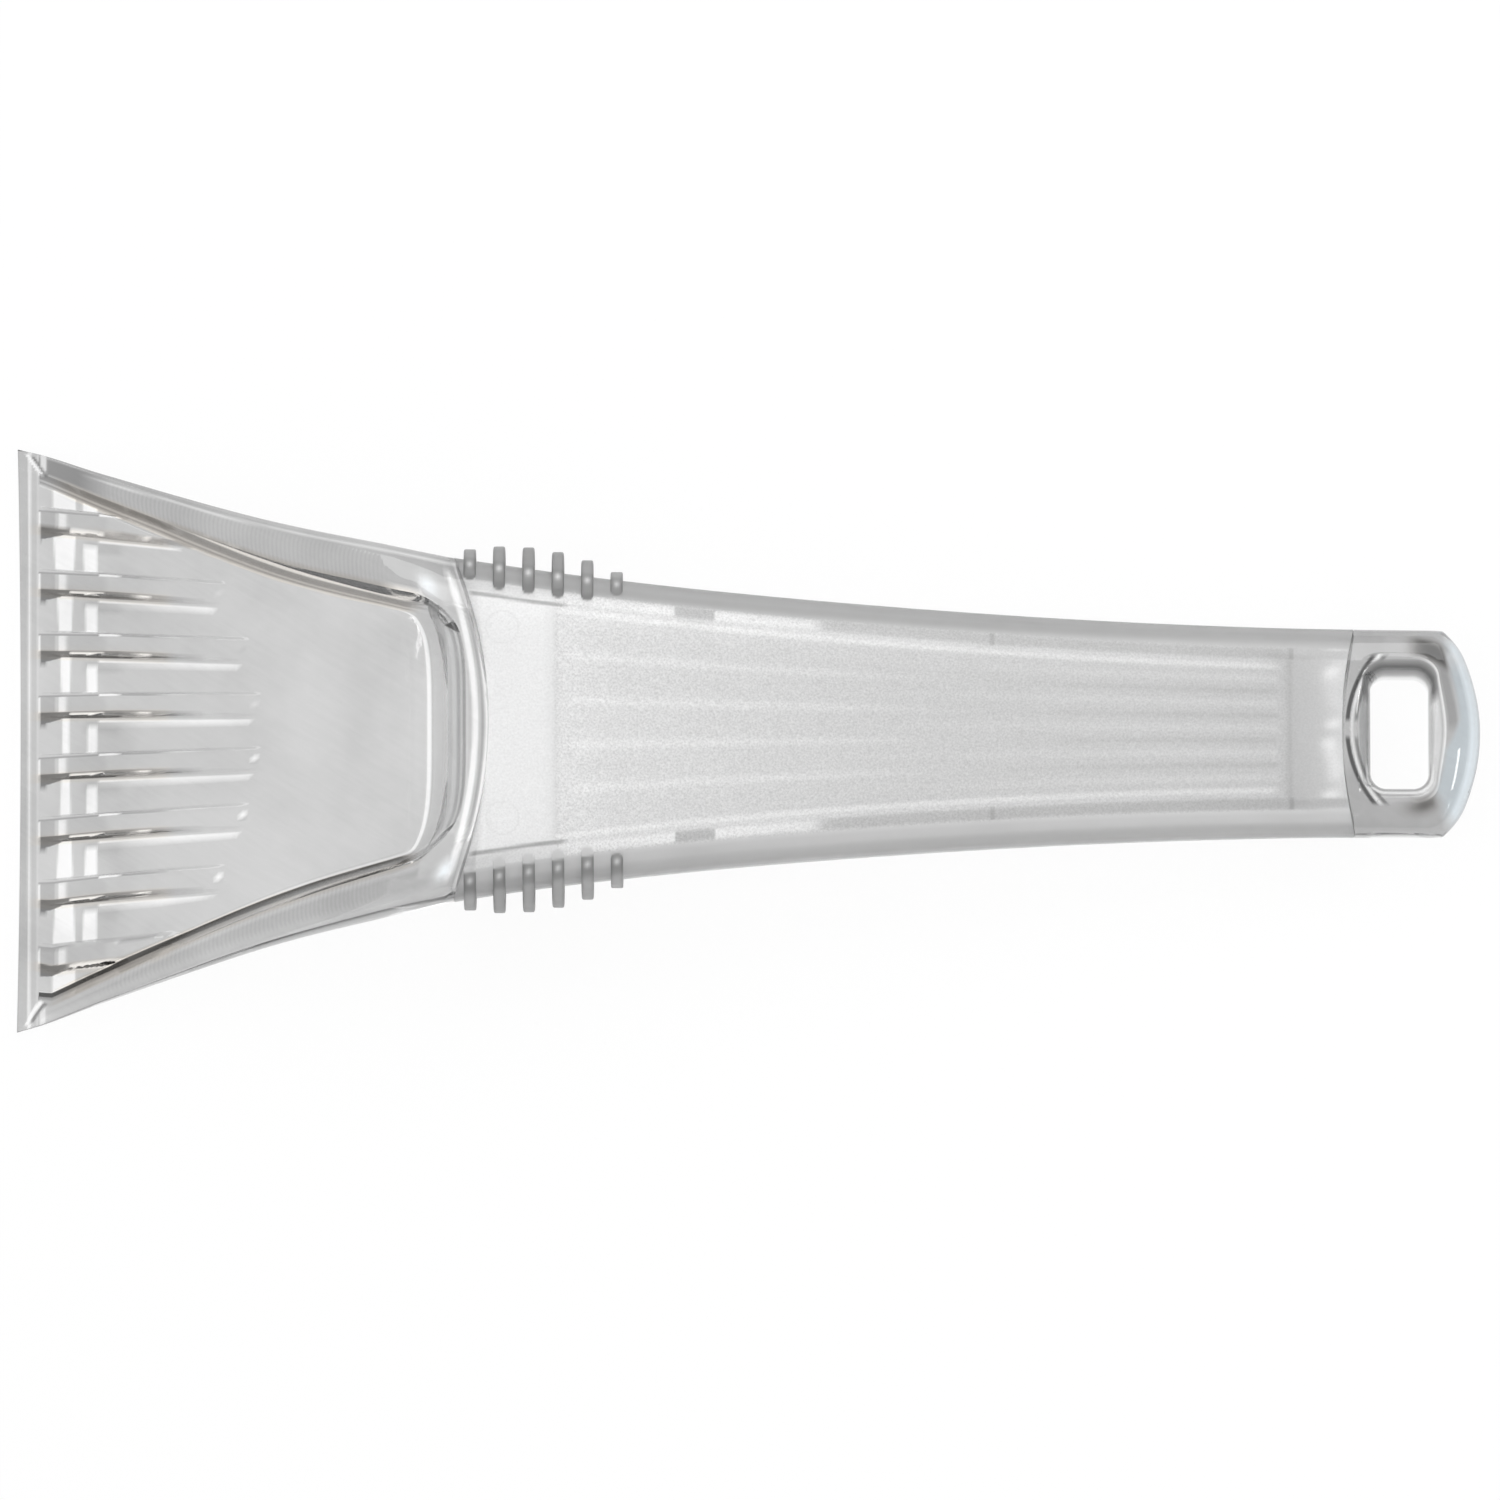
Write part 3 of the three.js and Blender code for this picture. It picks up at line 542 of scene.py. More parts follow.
def wire_plastic(made, shader, colour, rough, normal, shadow):
    """Feeds a plastic's shader, and lets lamps shine through it: shadow rays meet a plain clear tint instead."""
    nodes, links = made.node_tree.nodes, made.node_tree.links
    for name, source in (("Base Color", colour), ("Roughness", rough), ("Normal", normal)):
        links.new(source, shader.inputs[name])
    path = node_of(made, "ShaderNodeLightPath")
    passing = node_of(made, "ShaderNodeBsdfTransparent", Color=shadow)
    both = node_of(
        made, "ShaderNodeMixShader", ("Fac", path.outputs["Is Shadow Ray"]),
        (1, shader.outputs["BSDF"]), (2, passing.outputs["BSDF"]),
    )
    links.new(both.outputs["Shader"], nodes["Material Output"].inputs["Surface"])


# Painted lines of light and shade along the tray's walls, for the lines that refraction draws there: (share of the way
# up the wall, factor on the colour).
WALL_SPAN = (-0.25, 1.25)
REAR_LINES = [
    (-0.25, 1), (-0.05, 1), (-0.01, 2.3), (0.05, 2.3), (0.1, 0.85), (0.4, 0.9), (0.6, 1.05), (0.66, 1.5), (0.72, 1.5),
    (0.78, 0.7), (0.83, 0.7), (0.865, 1.45), (0.89, 1.45), (0.925, 0.55), (0.96, 0.55), (1, 1.1), (1.25, 1),
]
FAR_LINES = [
    (-0.25, 1), (-0.02, 1), (0.03, 1.3), (0.1, 1.3), (0.2, 1.08), (0.28, 0.7), (0.36, 0.45), (0.44, 1.1),
    (0.5, 1.1), (0.6, 0.42), (0.8, 0.28), (0.95, 0.32), (1, 0.8), (1.06, 1), (1.25, 1),
]
NEAR_LINES = [
    (-0.25, 1), (-0.16, 0.85), (-0.1, 1.3), (-0.02, 1.6), (0.04, 0.1), (0.08, 0.015), (0.5, 0.015), (0.6, 0.4),
    (0.8, 0.6), (1, 1), (1.25, 1),
]
# Colours of the painted casts of the light, read along the cool attribute from warm to cool.
CASTS = [(0, (1, 0.9, 0.78)), (0.5, (1, 1, 1)), (1, (0.76, 0.9, 1))]  # warm, plain and cool light
CUTTER_STEP = 0.65  # between two passes of the cutter


def clear_plastic():
    """Clear polystyrene: a smooth dielectric coloured by a tint with painted light and shade, with painted lines of
    light and shade along the tray's walls, faint clouds and streaks, fine handling marks in the gloss, cutter marks
    along the rims, and painted warm and cool casts of the light."""
    made, shader, place = new_plastic("clear_polystyrene", 1.0, 1.57)
    up_wall = ranged(made, attribute(made, "wall"), WALL_SPAN)
    width = WALL_SPAN[1] - WALL_SPAN[0]
    rear, far, near = [
        ramp_of(made, up_wall, [((at - WALL_SPAN[0]) / width, (tone, tone, tone)) for at, tone in stops])
        for stops in (REAR_LINES, FAR_LINES, NEAR_LINES)
    ]
    which = attribute(made, "which")
    lines = rear
    for share, other in ((which, far), (chained(made, "MULTIPLY", which, -1.0), near)):
        lines = node_of(made, "ShaderNodeMix", (0, share), (6, lines), (7, other), data_type="RGBA").outputs[2]
    clouds = ranged(made, noise(made, place, 55.0, 4.0), (0.36, 0.64), (0.89, 1.09))
    turned = node_of(
        made, "ShaderNodeMapping", ("Vector", place),
        Rotation=(0, 0, 2.6), Scale=(1 / 120, 1 / 1500, 1 / 300), vector_type="TEXTURE",
    )
    streak = noise(made, turned.outputs["Vector"], 1.0, 4.0, Distortion=0.5)
    streaks = ranged(made, streak, (0.25, 0.75), (0.965, 1.035))
    turns = chained(made, "MULTIPLY", attribute(made, "pass"), 2 * math.pi / CUTTER_STEP)
    cutter = node_of(made, "ShaderNodeMath", (0, turns), operation="SINE")
    marks = chained(made, "MULTIPLY", cutter.outputs[0], attribute(made, "rim"))
    scales = ranged(made, marks, (-1.0, 1.0), (0.93, 1.07))
    colour = chained(made, "MULTIPLY", body_colour(made, 0.45, 0.5), lines, clouds, streaks, scales)
    cast = ramp_of(made, ranged(made, attribute(made, "cool"), (-1.0, 1.0)), CASTS)
    tinted = node_of(
        made, "ShaderNodeMix", (6, cast), (7, colour), data_type="RGBA", blend_type="MULTIPLY", clamp_result=True
    )
    tinted.inputs[0].default_value = 1.0
    rough = ranged(made, noise(made, place, 120.0, 4.0), (0.4, 0.75), (0.015, 0.06))
    grooves = node_of(made, "ShaderNodeBump", ("Height", marks), Strength=0.1, Distance=0.00004)
    waves = node_of(
        made, "ShaderNodeBump", ("Height", noise(made, place, 60.0, 2.0)), ("Normal", grooves.outputs["Normal"]),
        Strength=0.2, Distance=0.0002,
    )
    wire_plastic(made, shader, tinted.outputs[2], rough, waves.outputs["Normal"], (0.86, 0.865, 0.87, 1))
    return made


clear = clear_plastic()
moulding("head_moulding", head_points, head_faces, head_marks, clear, "scraper_head")

# Upper handle shell. Frosted translucent plastic, smooth on top, with the upper halves of the six grip fins on
# each side. Moulded with an even wall and snapped down onto the lower shell's hooks.
WALL = 2.0
GAP = 0.05  # half of the parting line's gap
REAR_SEAM_X = 93.0
REAR_SEAM_BULGE = -2.0
FIN_X = -42.6 + 4.5 * np.arange(6)
FIN_REACH = 3.5 - 0.3 * (np.arange(6) - 2.35) ** 2
FIN_ROOT = np.array([4.8, 4.8, 4.8, 4.8, 4.6, 3.2])
FIN_HALF = 0.95
FIN_EDGE = 0.4  # half thickness of a fin at its outer edge
FIN_POWER = 9
# Sharp painted lines of light and shade cross the handle here, where the tongue's block and the hooks show through.
MARK_X = np.array([-29.4, -11.2, -5.1, 11.2, 37.4, 83.3])  # sharp lines across the handle
LANDS = [(0, 0), (1, 1)]  # one more column on each side of a sheet


def seamed(s, v):
    """Plan position of a station: the stations near a seam bend with its curve, (1 - v^2) * bulge; within 12 of
    it, and less at the sides, where the fins stand."""
    front = np.clip(1 - (s - FRONT_SEAM_X) / graded(
        np.abs(v), (0.62, 12), (0.8, 2.4), (0.85, 1.55), (0.9, 1.05), (1, 0.3)
    ), 0, None)
    rear = np.clip(1 - (REAR_SEAM_X - s) / 12, 0, None)
    return s + (1 - v * v) * (FRONT_SEAM_BULGE * front + REAR_SEAM_BULGE * rear)


def fin_root(fin_x, depth):
    """Half width at which a fin starts: its depth inside the outline, or that of the seam, met 0.9 before the fin's
    middle, where it is greater."""
    half = half_width(fin_x)
    seam_v = np.sqrt(np.clip(1 - (fin_x - 0.9 - FRONT_SEAM_X) / FRONT_SEAM_BULGE, 0, None))
    return np.maximum(half - depth, half * seam_v)


def finned(x, y, w, a, side):
    """Skin points pushed out to the grip fins: towards a quarter ellipse from the root, inside the outline, to
    the tip, by a share that is a superellipse across the fin's thickness."""
    most = 0 * x
    for fin_x, reach, depth in zip(FIN_X, FIN_REACH, FIN_ROOT):
        half, root = half_width(fin_x), fin_root(fin_x, depth)
        span = half + reach - root
        top = np.abs(skin(fin_x, root, side)) - FIN_EDGE
        start = 1 - np.sqrt((half - root) / half)
        angle = unit((np.abs(a) - start) / (1 - start)) * np.pi / 2
        out_y = np.sign(a) * (root + span * np.sin(angle))
        out_w = side * (FIN_EDGE + top * np.cos(angle))
        share = np.clip(1 - np.abs((x - fin_x) / FIN_HALF) ** FIN_POWER, 0, None) ** (1 / FIN_POWER)
        share = np.where(np.abs(a) > start, share, 0)
        y = y + share * (out_y - y)
        w = w + share * (out_w - w)
        most = np.maximum(most, share)
    return y, w, most


def shell_stations():
    """Stations along the handle, with rows packed at both flanks of every fin and beside the lines across it."""
    flank = np.array([0, 0.3, 0.55, 0.72, 0.83, 0.9, 0.935, 0.948, 0.955])
    fins = (FIN_X[:, None] + np.concatenate([-flank[::-1], flank[1:]])[None, :]).ravel()
    plain = spaced((FRONT_SEAM_X, -18.0, 20), (-18.0, 80.0, 50), (80.0, REAR_SEAM_X, 16))
    lines = (MARK_X[:, None] + [-0.45, -0.2, 0.2, 0.45]).ravel()
    plain = np.concatenate([plain, lines])
    clear_of = np.abs(plain[:, None] - FIN_X[None, :]).min(1) > 1.15
    return np.unique(np.round(np.concatenate([plain[clear_of], fins[fins > FRONT_SEAM_X]]), 4))[:, None]


def shell_sheets(side, station, a, wall):
    """One half of the handle over a share v = 1 - (1 - |a|)^2 of its half width: x; y and height of the outer sheet
    with its fins, then of the inner one, a wall further in; y of the skin without fins; and the fins' share."""
    v = np.sign(a) * (1 - (1 - np.abs(a)) ** 2)
    x = seamed(station, v)
    half = half_width(x)
    y, w, fin = finned(x, v * half, skin(x, v * half, side), a, side)
    inner_y = v * (half - wall)
    inner_w = skin(x, inner_y, side, wall)
    return x, y, w, inner_y, inner_w, v * half, fin


def with_lands(x, y, w, side):
    """Grid of points with its first and last columns repeated at the parting line, at the foot of the lands."""
    low = np.pad(w, LANDS, constant_values=side * GAP)
    return placed(np.pad(x, LANDS, mode="edge"), np.pad(y, LANDS, mode="edge"), low)


rows = shell_stations()
across = np.linspace(-1, 1, 151)[None, :]
x, y, w, inner_y, inner_w, flat_y, fin = shell_sheets(1, rows, across, WALL)
upper_points, upper_faces = closed_body(with_lands(x, y, w, 1), with_lands(x, inner_y, inner_w, 1))


def shell_tone_and_painted_light(x, y):
    """Tone of the upper shell with painted light and shade: the tongue's block showing through paler, a tone that falls
    towards the rear, the panel with painted lines of light and shade along the flutes' ridges, its painted bright
    borders, the seats of the hooks in painted shade, and the plain side bands in painted shade."""
    edge = inside(x, y)
    panel = y / (half_width(x) - 6.6)
    t = graded(
        x, (-30.4, 0.925), (-29.4, 0.83), (-28.6, 0.86), (-20, 0.81), (23, 0.73), (69, 0.705), (82, 0.69), (83.1, 0.62),
        (83.7, 0.68), (88, 0.71), (90.5, 0.8),
    )
    ridge = np.cos(5 * np.pi * (panel + 1))
    field = patch(np.abs(panel), 0, 0.9, 0.05)
    line = unit(ridge) ** 4 * field
    hollow = unit(-ridge) ** 2 * field
    t = t + line * graded(x, (-28, 0), (-26, 0.06), (10, 0.06), (35, 0), (60, -0.05), (80.5, -0.06), (82, 0))
    t = t + hollow * graded(x, (-28, 0), (-26, -0.01), (10, 0), (60, 0.04), (80.5, 0.05), (82, 0))
    # A paler band with streaks across the panel near its rear end.
    patchy = 0.5 + 0.5 * np.sin(1.1 * y + 2 * np.sin(0.6 * y))
    pale_rear_band = np.exp(-((x - 89.6 - 0.5 * np.sin(0.7 * y)) / 1.3) ** 2) * patchy
    t = over(t, pale_rear_band * patch(x, 84.5, 92, 1), 0.92)
    t = over(t, patch(edge, 5.5, 5.8, 0.2) * patch(x, -27, 80, 1), graded(x, (-28, 0.84), (80, 0.72)))
    t = over(t, patch(edge, 6.3, 6.7, 0.5) * patch(x, -28, 80, 2), graded(x, (-28, 0.92), (20, 0.85), (80, 0.81)))
    t = over(t, patch(edge, 5.6, 5.9, 0.25) * patch(x, -42, -28.5, 1), 0.55)
    strip = graded(
        x, (-42, 0.82), (-33, 0.9), (-11.4, 0.93), (-11.0, 0.65), (-5.3, 0.65), (-4.9, 0.93), (10, 0.86), (12, 0.66),
        (82, 0.61), (84, 0.66), (92, 0.68),
    )
    t = over(t, patch(edge, 4.0, 5.0, 0.5), strip)
    tick = patch(np.abs(x - 37.4), 0, 0.2, 0.25) + patch(np.abs(x - 83.3), 0, 0.2, 0.25)
    t = over(t, patch(edge, 3.7, 5.2, 0.3) * tick, 0.55)
    band = graded(edge, (0, 0.6), (0.8, 0.67), (1.8, 0.72), (2.8, 0.67), (3.4, 0.69)) * np.where(y < 0, 1.12, 0.98)
    return over(t, patch(edge, -1, 3.4, 0.3), band)


def fin_painted_light_and_shade(x, y):
    """Painted light and shade of a fin: painted shade at its root, paler out to the tip, painted shade at its two
    flanks, the near fins' roots painted paler, and a round painted highlight just inside the outline."""
    out = np.abs(y) - half_width(x)
    off = np.abs(x[..., None] - FIN_X).min(-1)
    tone = graded(out, (-4.8, 0.42), (-2, 0.46), (-0.3, 0.5), (0.2, 0.58), (3.5, 0.6))
    tone = tone * graded(off, (0, 1), (0.5, 1), (0.85, 0.8))
    tone = tone * np.where(y < 0, 1.1, 1.02)
    tone = over(tone, (y < 0) * unit((-2.9 - out) / 0.3), 0.8)
    return over(tone, np.exp(-((out + np.where(y < 0, 1.8, 1.2)) / 0.5) ** 2 - (off / 0.45) ** 2), 0.95)


def fin_shown(x, y):
    """Share of a fin that shows, 1 past its root, whose end is a half circle as wide as the fin."""
    nearest = np.abs(x[..., None] - FIN_X).argmin(-1)
    off = unit(np.abs(x - FIN_X[nearest]) / FIN_HALF)
    rounded = FIN_HALF * (1 - np.sqrt(1 - off ** 2))
    return unit((np.abs(y) - fin_root(FIN_X, FIN_ROOT)[nearest] - rounded) / 0.25)


def marks_of(outer, grain):
    """Painted light and shade, and grain, of a shell's two sheets with their lands: as given on the one, plain on
    the other.
    """
    outer = np.pad(outer, LANDS, mode="edge").ravel()
    grain = np.pad(grain, LANDS, mode="edge").ravel()
    return [outer ** 2, 0 * outer + 1], [grain, 0 * grain]


def panel_grain(x, y):
    """Where the eroded grain lies: the panel and its borders in full, the tongue's block faintly, the sides not."""
    edge = inside(x, y)
    return patch(edge, 3.6, 40, 0.4) * graded(x, (-30, 0.4), (-29, 1), (20, 0.8), (82.5, 0.6), (84, 0.3))


# Painted light and shade of the upper shell, and the fins' own where they show.
upper_painted_light = over(shell_tone_and_painted_light(x, flat_y), fin * fin_shown(x, y), fin_painted_light_and_shade(x, y))
tint_and_painted_light, grain = marks_of(upper_painted_light, panel_grain(x, flat_y) * (1 - fin))
upper_marks = {"tint_and_painted_light": np.concatenate(tint_and_painted_light), "grain": np.concatenate(grain)}

PEG_PLACE = (-0.0376, 0.0147, 0)  # in metres, on the far side
PEG_RING = 0.0025
PEG_LINE = 0.00025


def frosted_plastic():
    """Frosted plastic: a rough dielectric coloured by each shell's painted light and shade, with a spark-eroded grain
    in its tone and bump, a haze in its roughness, and a faint ring on each side where a peg shows through."""
    made, shader, place = new_plastic("frosted_polystyrene", 0.6, 1.5)
    level = chained(made, "SUBTRACT", noise(made, place, 3000.0, 2.0, Roughness=0.6), 0.5)
    grain = chained(made, "MULTIPLY", level, attribute(made, "grain"))
    sparkle = ranged(made, grain, (-0.2, 0.2), (0.78, 1.26))
    colour = node_of(
        made, "ShaderNodeMath", (0, body_colour(made, 0.5, 0.5)), (1, sparkle), operation="MULTIPLY", use_clamp=True
    )
    apart = node_of(made, "ShaderNodeSeparateXYZ", ("Vector", place))
    plan = node_of(
        made, "ShaderNodeCombineXYZ", ("X", apart.outputs["X"]), ("Y", absolute(made, apart.outputs["Y"]))
    )
    reach = node_of(made, "ShaderNodeVectorMath", (0, plan.outputs["Vector"]), operation="DISTANCE")
    reach.inputs[1].default_value = PEG_PLACE
    ring = ranged(made, reach.outputs["Value"], (PEG_RING - PEG_LINE, PEG_RING), (-1.0, 0.0), clamp=False)
    peg = ranged(made, absolute(made, ring), (0.0, 1.0), (0.92, 1.0))
    rough = ranged(made, noise(made, place, 90.0, 3.0), (0.3, 0.7), (0.28, 0.35))
    bump = node_of(made, "ShaderNodeBump", ("Height", grain), Strength=0.07, Distance=0.0002)
    ringed = chained(made, "MULTIPLY", colour.outputs[0], peg)
    wire_plastic(made, shader, ringed, rough, bump.outputs["Normal"], (0.8, 0.8, 0.8, 1))
    return made


frosted = frosted_plastic()
moulding(
    "upper_shell_moulding", upper_points, upper_faces, upper_marks, frosted, "upper_handle_shell"
)

# Lower handle shell. The same frosted plastic with a slightly thicker wall: five flutes are pressed into its
# underside, and it carries the snap hooks inside and the lower halves of the grip fins.
LOWER_WALL = 2.4
CLEARANCE = 0.3
PANEL_MARGIN = 6.0
FLUTE_COUNT = 5
FLUTE_DEPTH = 0.8
FLUTE_SPAN = (-27.5, 83.0)
HOOK_X = np.array([-8.3, 37.4, 83.1])
HOOK_HALF = 3.0


def flutes(x, y):
    """Depth of the flutes: depth * (1 - cos) / 2 with five waves across the panel, run out over 3 at both ends."""
    panel = np.clip(y / (half_width(x) - PANEL_MARGIN), -1, 1)
    run = unit(np.minimum(x - FLUTE_SPAN[0], FLUTE_SPAN[1] - x) / 3)
    return FLUTE_DEPTH * run * (1 - np.cos(np.pi * FLUTE_COUNT * (panel + 1))) / 2


def hook_lift(x, y):
    """Share of the way up to the hooks' tops: 1 over the three hooks on each side, 0 beside them."""
    margin = half_width(x) - WALL - CLEARANCE - np.abs(y)
    near = np.abs(x[..., None] - HOOK_X).min(-1)
    along = unit((HOOK_HALF - near) / 0.15)
    return along * unit((margin - 0.85) / 0.1) * unit((2.35 - margin) / 0.1)


hook_rows = (HOOK_X[:, None] + np.array([-3.05, -2.98, -2.85, 0, 2.85, 2.98, 3.05])[None, :]).ravel()
rows = np.unique(np.round(np.concatenate([shell_stations()[:, 0], hook_rows]), 4))[:, None]
across = np.linspace(-1, 1, 121)[None, :]
x, y, w, inner_y, inner_w, flat_y, fin = shell_sheets(-1, rows, across, LOWER_WALL)
w = w + flutes(x, y)
lift = hook_lift(x, inner_y)
inner_w = inner_w + lift * (0.4 * through(SKIN_ABOVE, x) - inner_w)
lower_points, lower_faces = closed_body(with_lands(x, inner_y, inner_w, -1), with_lands(x, y, w, -1))

# The body's first sheet is the inner one here. It takes the grain, and the outer one the painted shade: the side
# bands a little darker and the fins darker still.
sides = patch(inside(x, flat_y), -1, 3.4, 0.4)
tint_and_painted_light, grain = marks_of(over(over(0 * x + 1, sides, 0.93), fin, 0.56), panel_grain(x, flat_y) * (1 - fin))
lower_marks = {"tint_and_painted_light": np.concatenate(tint_and_painted_light[::-1]), "grain": np.concatenate(grain)}
moulding(
    "lower_shell_moulding", lower_points, lower_faces, lower_marks, frosted, "lower_handle_shell"
)

# Hanging loop. A clear moulded end piece of the same polystyrene as the head: a rounded hole with flared mouths to
# hang the tool on, and a tongue that plugs into the rear end of the handle.
TIP_X = 112.4
HOLE_X = 100.0
HOLE_SIZE = (8.9, 17.4)
HOLE_CORNER = 2.4
THROAT = 1.5  # half height of the straight throat
FLARE_TOP = 3.2
FLARE_SOLE = 0.7
MOUTH_DEPTH = 5.2
LOOP_TONGUE = 5.4  # how far inside the outline the tongue's sides lie


def loop_end(v):
    """Plan position of the loop's end: an arc with rounded corners."""
    corner = np.clip((np.abs(v) - 0.72) / 0.28, 0, None)
    return TIP_X - 4.5 * v * v - 1.2 * corner ** 2


def loop_outline():
    """Closed plan outline of the loop, counter-clockwise from its upper seam corner: seam, side, end, side."""
    seam_v = np.linspace(1, -1, 400)
    seam = np.stack([seamed(np.full(400, REAR_SEAM_X), seam_v) + SEAM, seam_v], 1)
    seam[:, 1] *= half_width(seam[:, 0])
    side_x = np.linspace(seam[-1, 0], loop_end(1.0), 300)[1:]
    side = np.stack([side_x, -half_width(side_x)], 1)
    end_v = np.linspace(-1, 1, 800)[1:-1]
    end = np.stack([loop_end(end_v), end_v * half_width(loop_end(end_v))], 1)
    return np.concatenate([seam, side, end, (side * [1, -1])[::-1]])


def hole_outline():
    """Closed plan outline of the hole's throat, a rounded rectangle, counter-clockwise."""
    turn = np.linspace(0, 2 * np.pi, 401)
    reach = np.array(HOLE_SIZE) / 2 - HOLE_CORNER
    ray = np.stack([np.cos(turn), np.sin(turn)], 1)
    arcs = np.where(ray > 0, reach, -reach) + HOLE_CORNER * ray
    run = np.append(0, np.cumsum(np.hypot(*np.diff(arcs, axis=0).T)))
    at = np.linspace(0, run[-1], 1600, endpoint=False)
    return np.stack([np.interp(at, run, arcs[:, 0]) + HOLE_X, np.interp(at, run, arcs[:, 1])], 1)


def radius_at(outline, angle):
    """Distance from the hole's centre to a closed outline in the given directions."""
    off = outline - [HOLE_X, 0]
    turn = np.arctan2(off[:, 1], off[:, 0]) % (2 * np.pi)
    order = np.argsort(turn)
    return np.interp(angle, turn[order], np.hypot(*off.T)[order], period=2 * np.pi)


outline = loop_outline()
corner = np.arctan2(outline[0, 1], outline[0, 0] - HOLE_X)
seam_angles = np.linspace(corner, 2 * np.pi - corner, 121)
free_angles = np.linspace(-corner, corner, 220)[1:-1] + 2 * np.pi
angles = np.concatenate([seam_angles, free_angles])[None, :]
inner_r = radius_at(hole_outline(), angles)
outer_r = radius_at(outline, angles)
flare_share = 1 - np.cos(np.linspace(0, np.pi / 2, 24))
beyond = 1 - (1 - np.linspace(0, 1, 40)[1:]) ** 2.2


def loop_sheet(side, flare):
    """One sheet of the loop in rings from the throat to the outline: a quarter-round mouth next to the hole,
    then the skin, thinned over its last fifth by sqrt(1 - 0.96 t^2); the nearer of the two to the parting line,
    blended where they meet."""
    mouth_r = inner_r + flare * flare_share[:, None]
    rest_r = mouth_r[-1:] + (outer_r - mouth_r[-1:]) * beyond[:, None]
    r = np.concatenate([mouth_r, rest_r])
    x = HOLE_X + r * np.cos(angles)
    y = r * np.sin(angles)
    v = np.clip(y / half_width(x), -1, 1)
    start = seamed(np.full(v.shape, REAR_SEAM_X), v) + SEAM
    u = unit((x - start) / (loop_end(v) - start))
    thin = np.sqrt(1 - 0.96 * unit((u - 0.8) / 0.2) ** 2)
    full = through(SKIN_ABOVE, x) if side > 0 else parting(x) + 0.6
    cover = LAND + (full - LAND) * arch(v) * thin
    if side < 0:
        cover = np.minimum(cover, parting(x))
    t = unit((r - inner_r) / flare)
    mouth = THROAT + MOUTH_DEPTH * np.sqrt(1 - (1 - t) ** 2)
    near = (cover + mouth - np.sqrt((cover - mouth) ** 2 + 0.15)) / 2
    return placed(x, y, side * np.where(t < 1, near, cover))


loop_upper = loop_sheet(1, FLARE_TOP)
loop_lower = loop_sheet(-1, FLARE_SOLE)
seam_count = len(seam_angles)
seam_points = loop_upper[-1:, :seam_count]
plug_v = seam_points[..., 1] / half_width(seam_points[..., 0])
plug_x = np.array([92.0, 88, 85, 82.8])[:, None] + 0 * plug_v
seam_share = plug_v[0] * (1 - LOOP_TONGUE / half_width(REAR_SEAM_X))
plug_x[0] = seamed(np.full(seam_share.shape, REAR_SEAM_X), seam_share) + SEAM - 0.01
plug_upper, plug_lower = tongue(plug_x, plug_v, LOOP_TONGUE)

ring_count = loop_upper.shape[0] * loop_upper.shape[1]
top = np.arange(ring_count).reshape(loop_upper.shape[:2])
low = top + ring_count
plug_count = plug_upper.shape[0] * plug_upper.shape[1]
plug = 2 * ring_count + np.arange(plug_count).reshape(plug_upper.shape[:2])
plug_top = np.concatenate([top[-1:, :seam_count], plug])
plug_low = np.concatenate([low[-1:, :seam_count], plug + plug_count])
round_top = np.concatenate([top, top[:, :1]], 1)
round_low = np.concatenate([low, low[:, :1]], 1)
free_edge = np.arange(seam_count - 1, top.shape[1] + 1)
loop_faces = np.concatenate([
    sheet_faces(round_top),
    sheet_faces(round_low)[:, ::-1],
    sheet_faces(np.stack([round_top[0], round_low[0]], 1)),
    sheet_faces(np.stack([round_low[-1, free_edge], round_top[-1, free_edge]], 1)),
    sheet_faces(plug_top),
    sheet_faces(plug_low)[:, ::-1],
    wall_faces(plug_top, plug_low, first=False),
])
loop_points = np.concatenate([part.reshape(-1, 3) for part in (loop_upper, loop_lower, plug_upper, plug_lower)])


def corner_shades(x, y):
    """Shade at the loop's far and near outer corners: soft spots in direction and distance from the hole's centre."""
    turn, reach = np.arctan2(y, x - HOLE_X), np.hypot(y, x - HOLE_X)
    far = np.exp(-((turn - 1.14) / 0.3) ** 4 - ((reach - 13.2) / 1.5) ** 4)
    near = np.exp(-((turn + 1.25) / 0.22) ** 2 - ((reach - 12.2) / 1.2) ** 2)
    return far, near


def tip_light(x, y):
    """Where a painted highlight stands for the light of the sky that the tip's rounded edge gathers: a band 2.8 deep
    inside the end, 4.8 on the near side."""
    back = loop_end(y / half_width(x)) - x
    turn = np.arctan2(y, x - HOLE_X)
    depth = 2.8 + 2.0 * unit(0.3 - turn / 0.6)
    return patch(back, -1, depth, 0.8) * patch(np.cos(turn), 0.55, 1, 0.15)


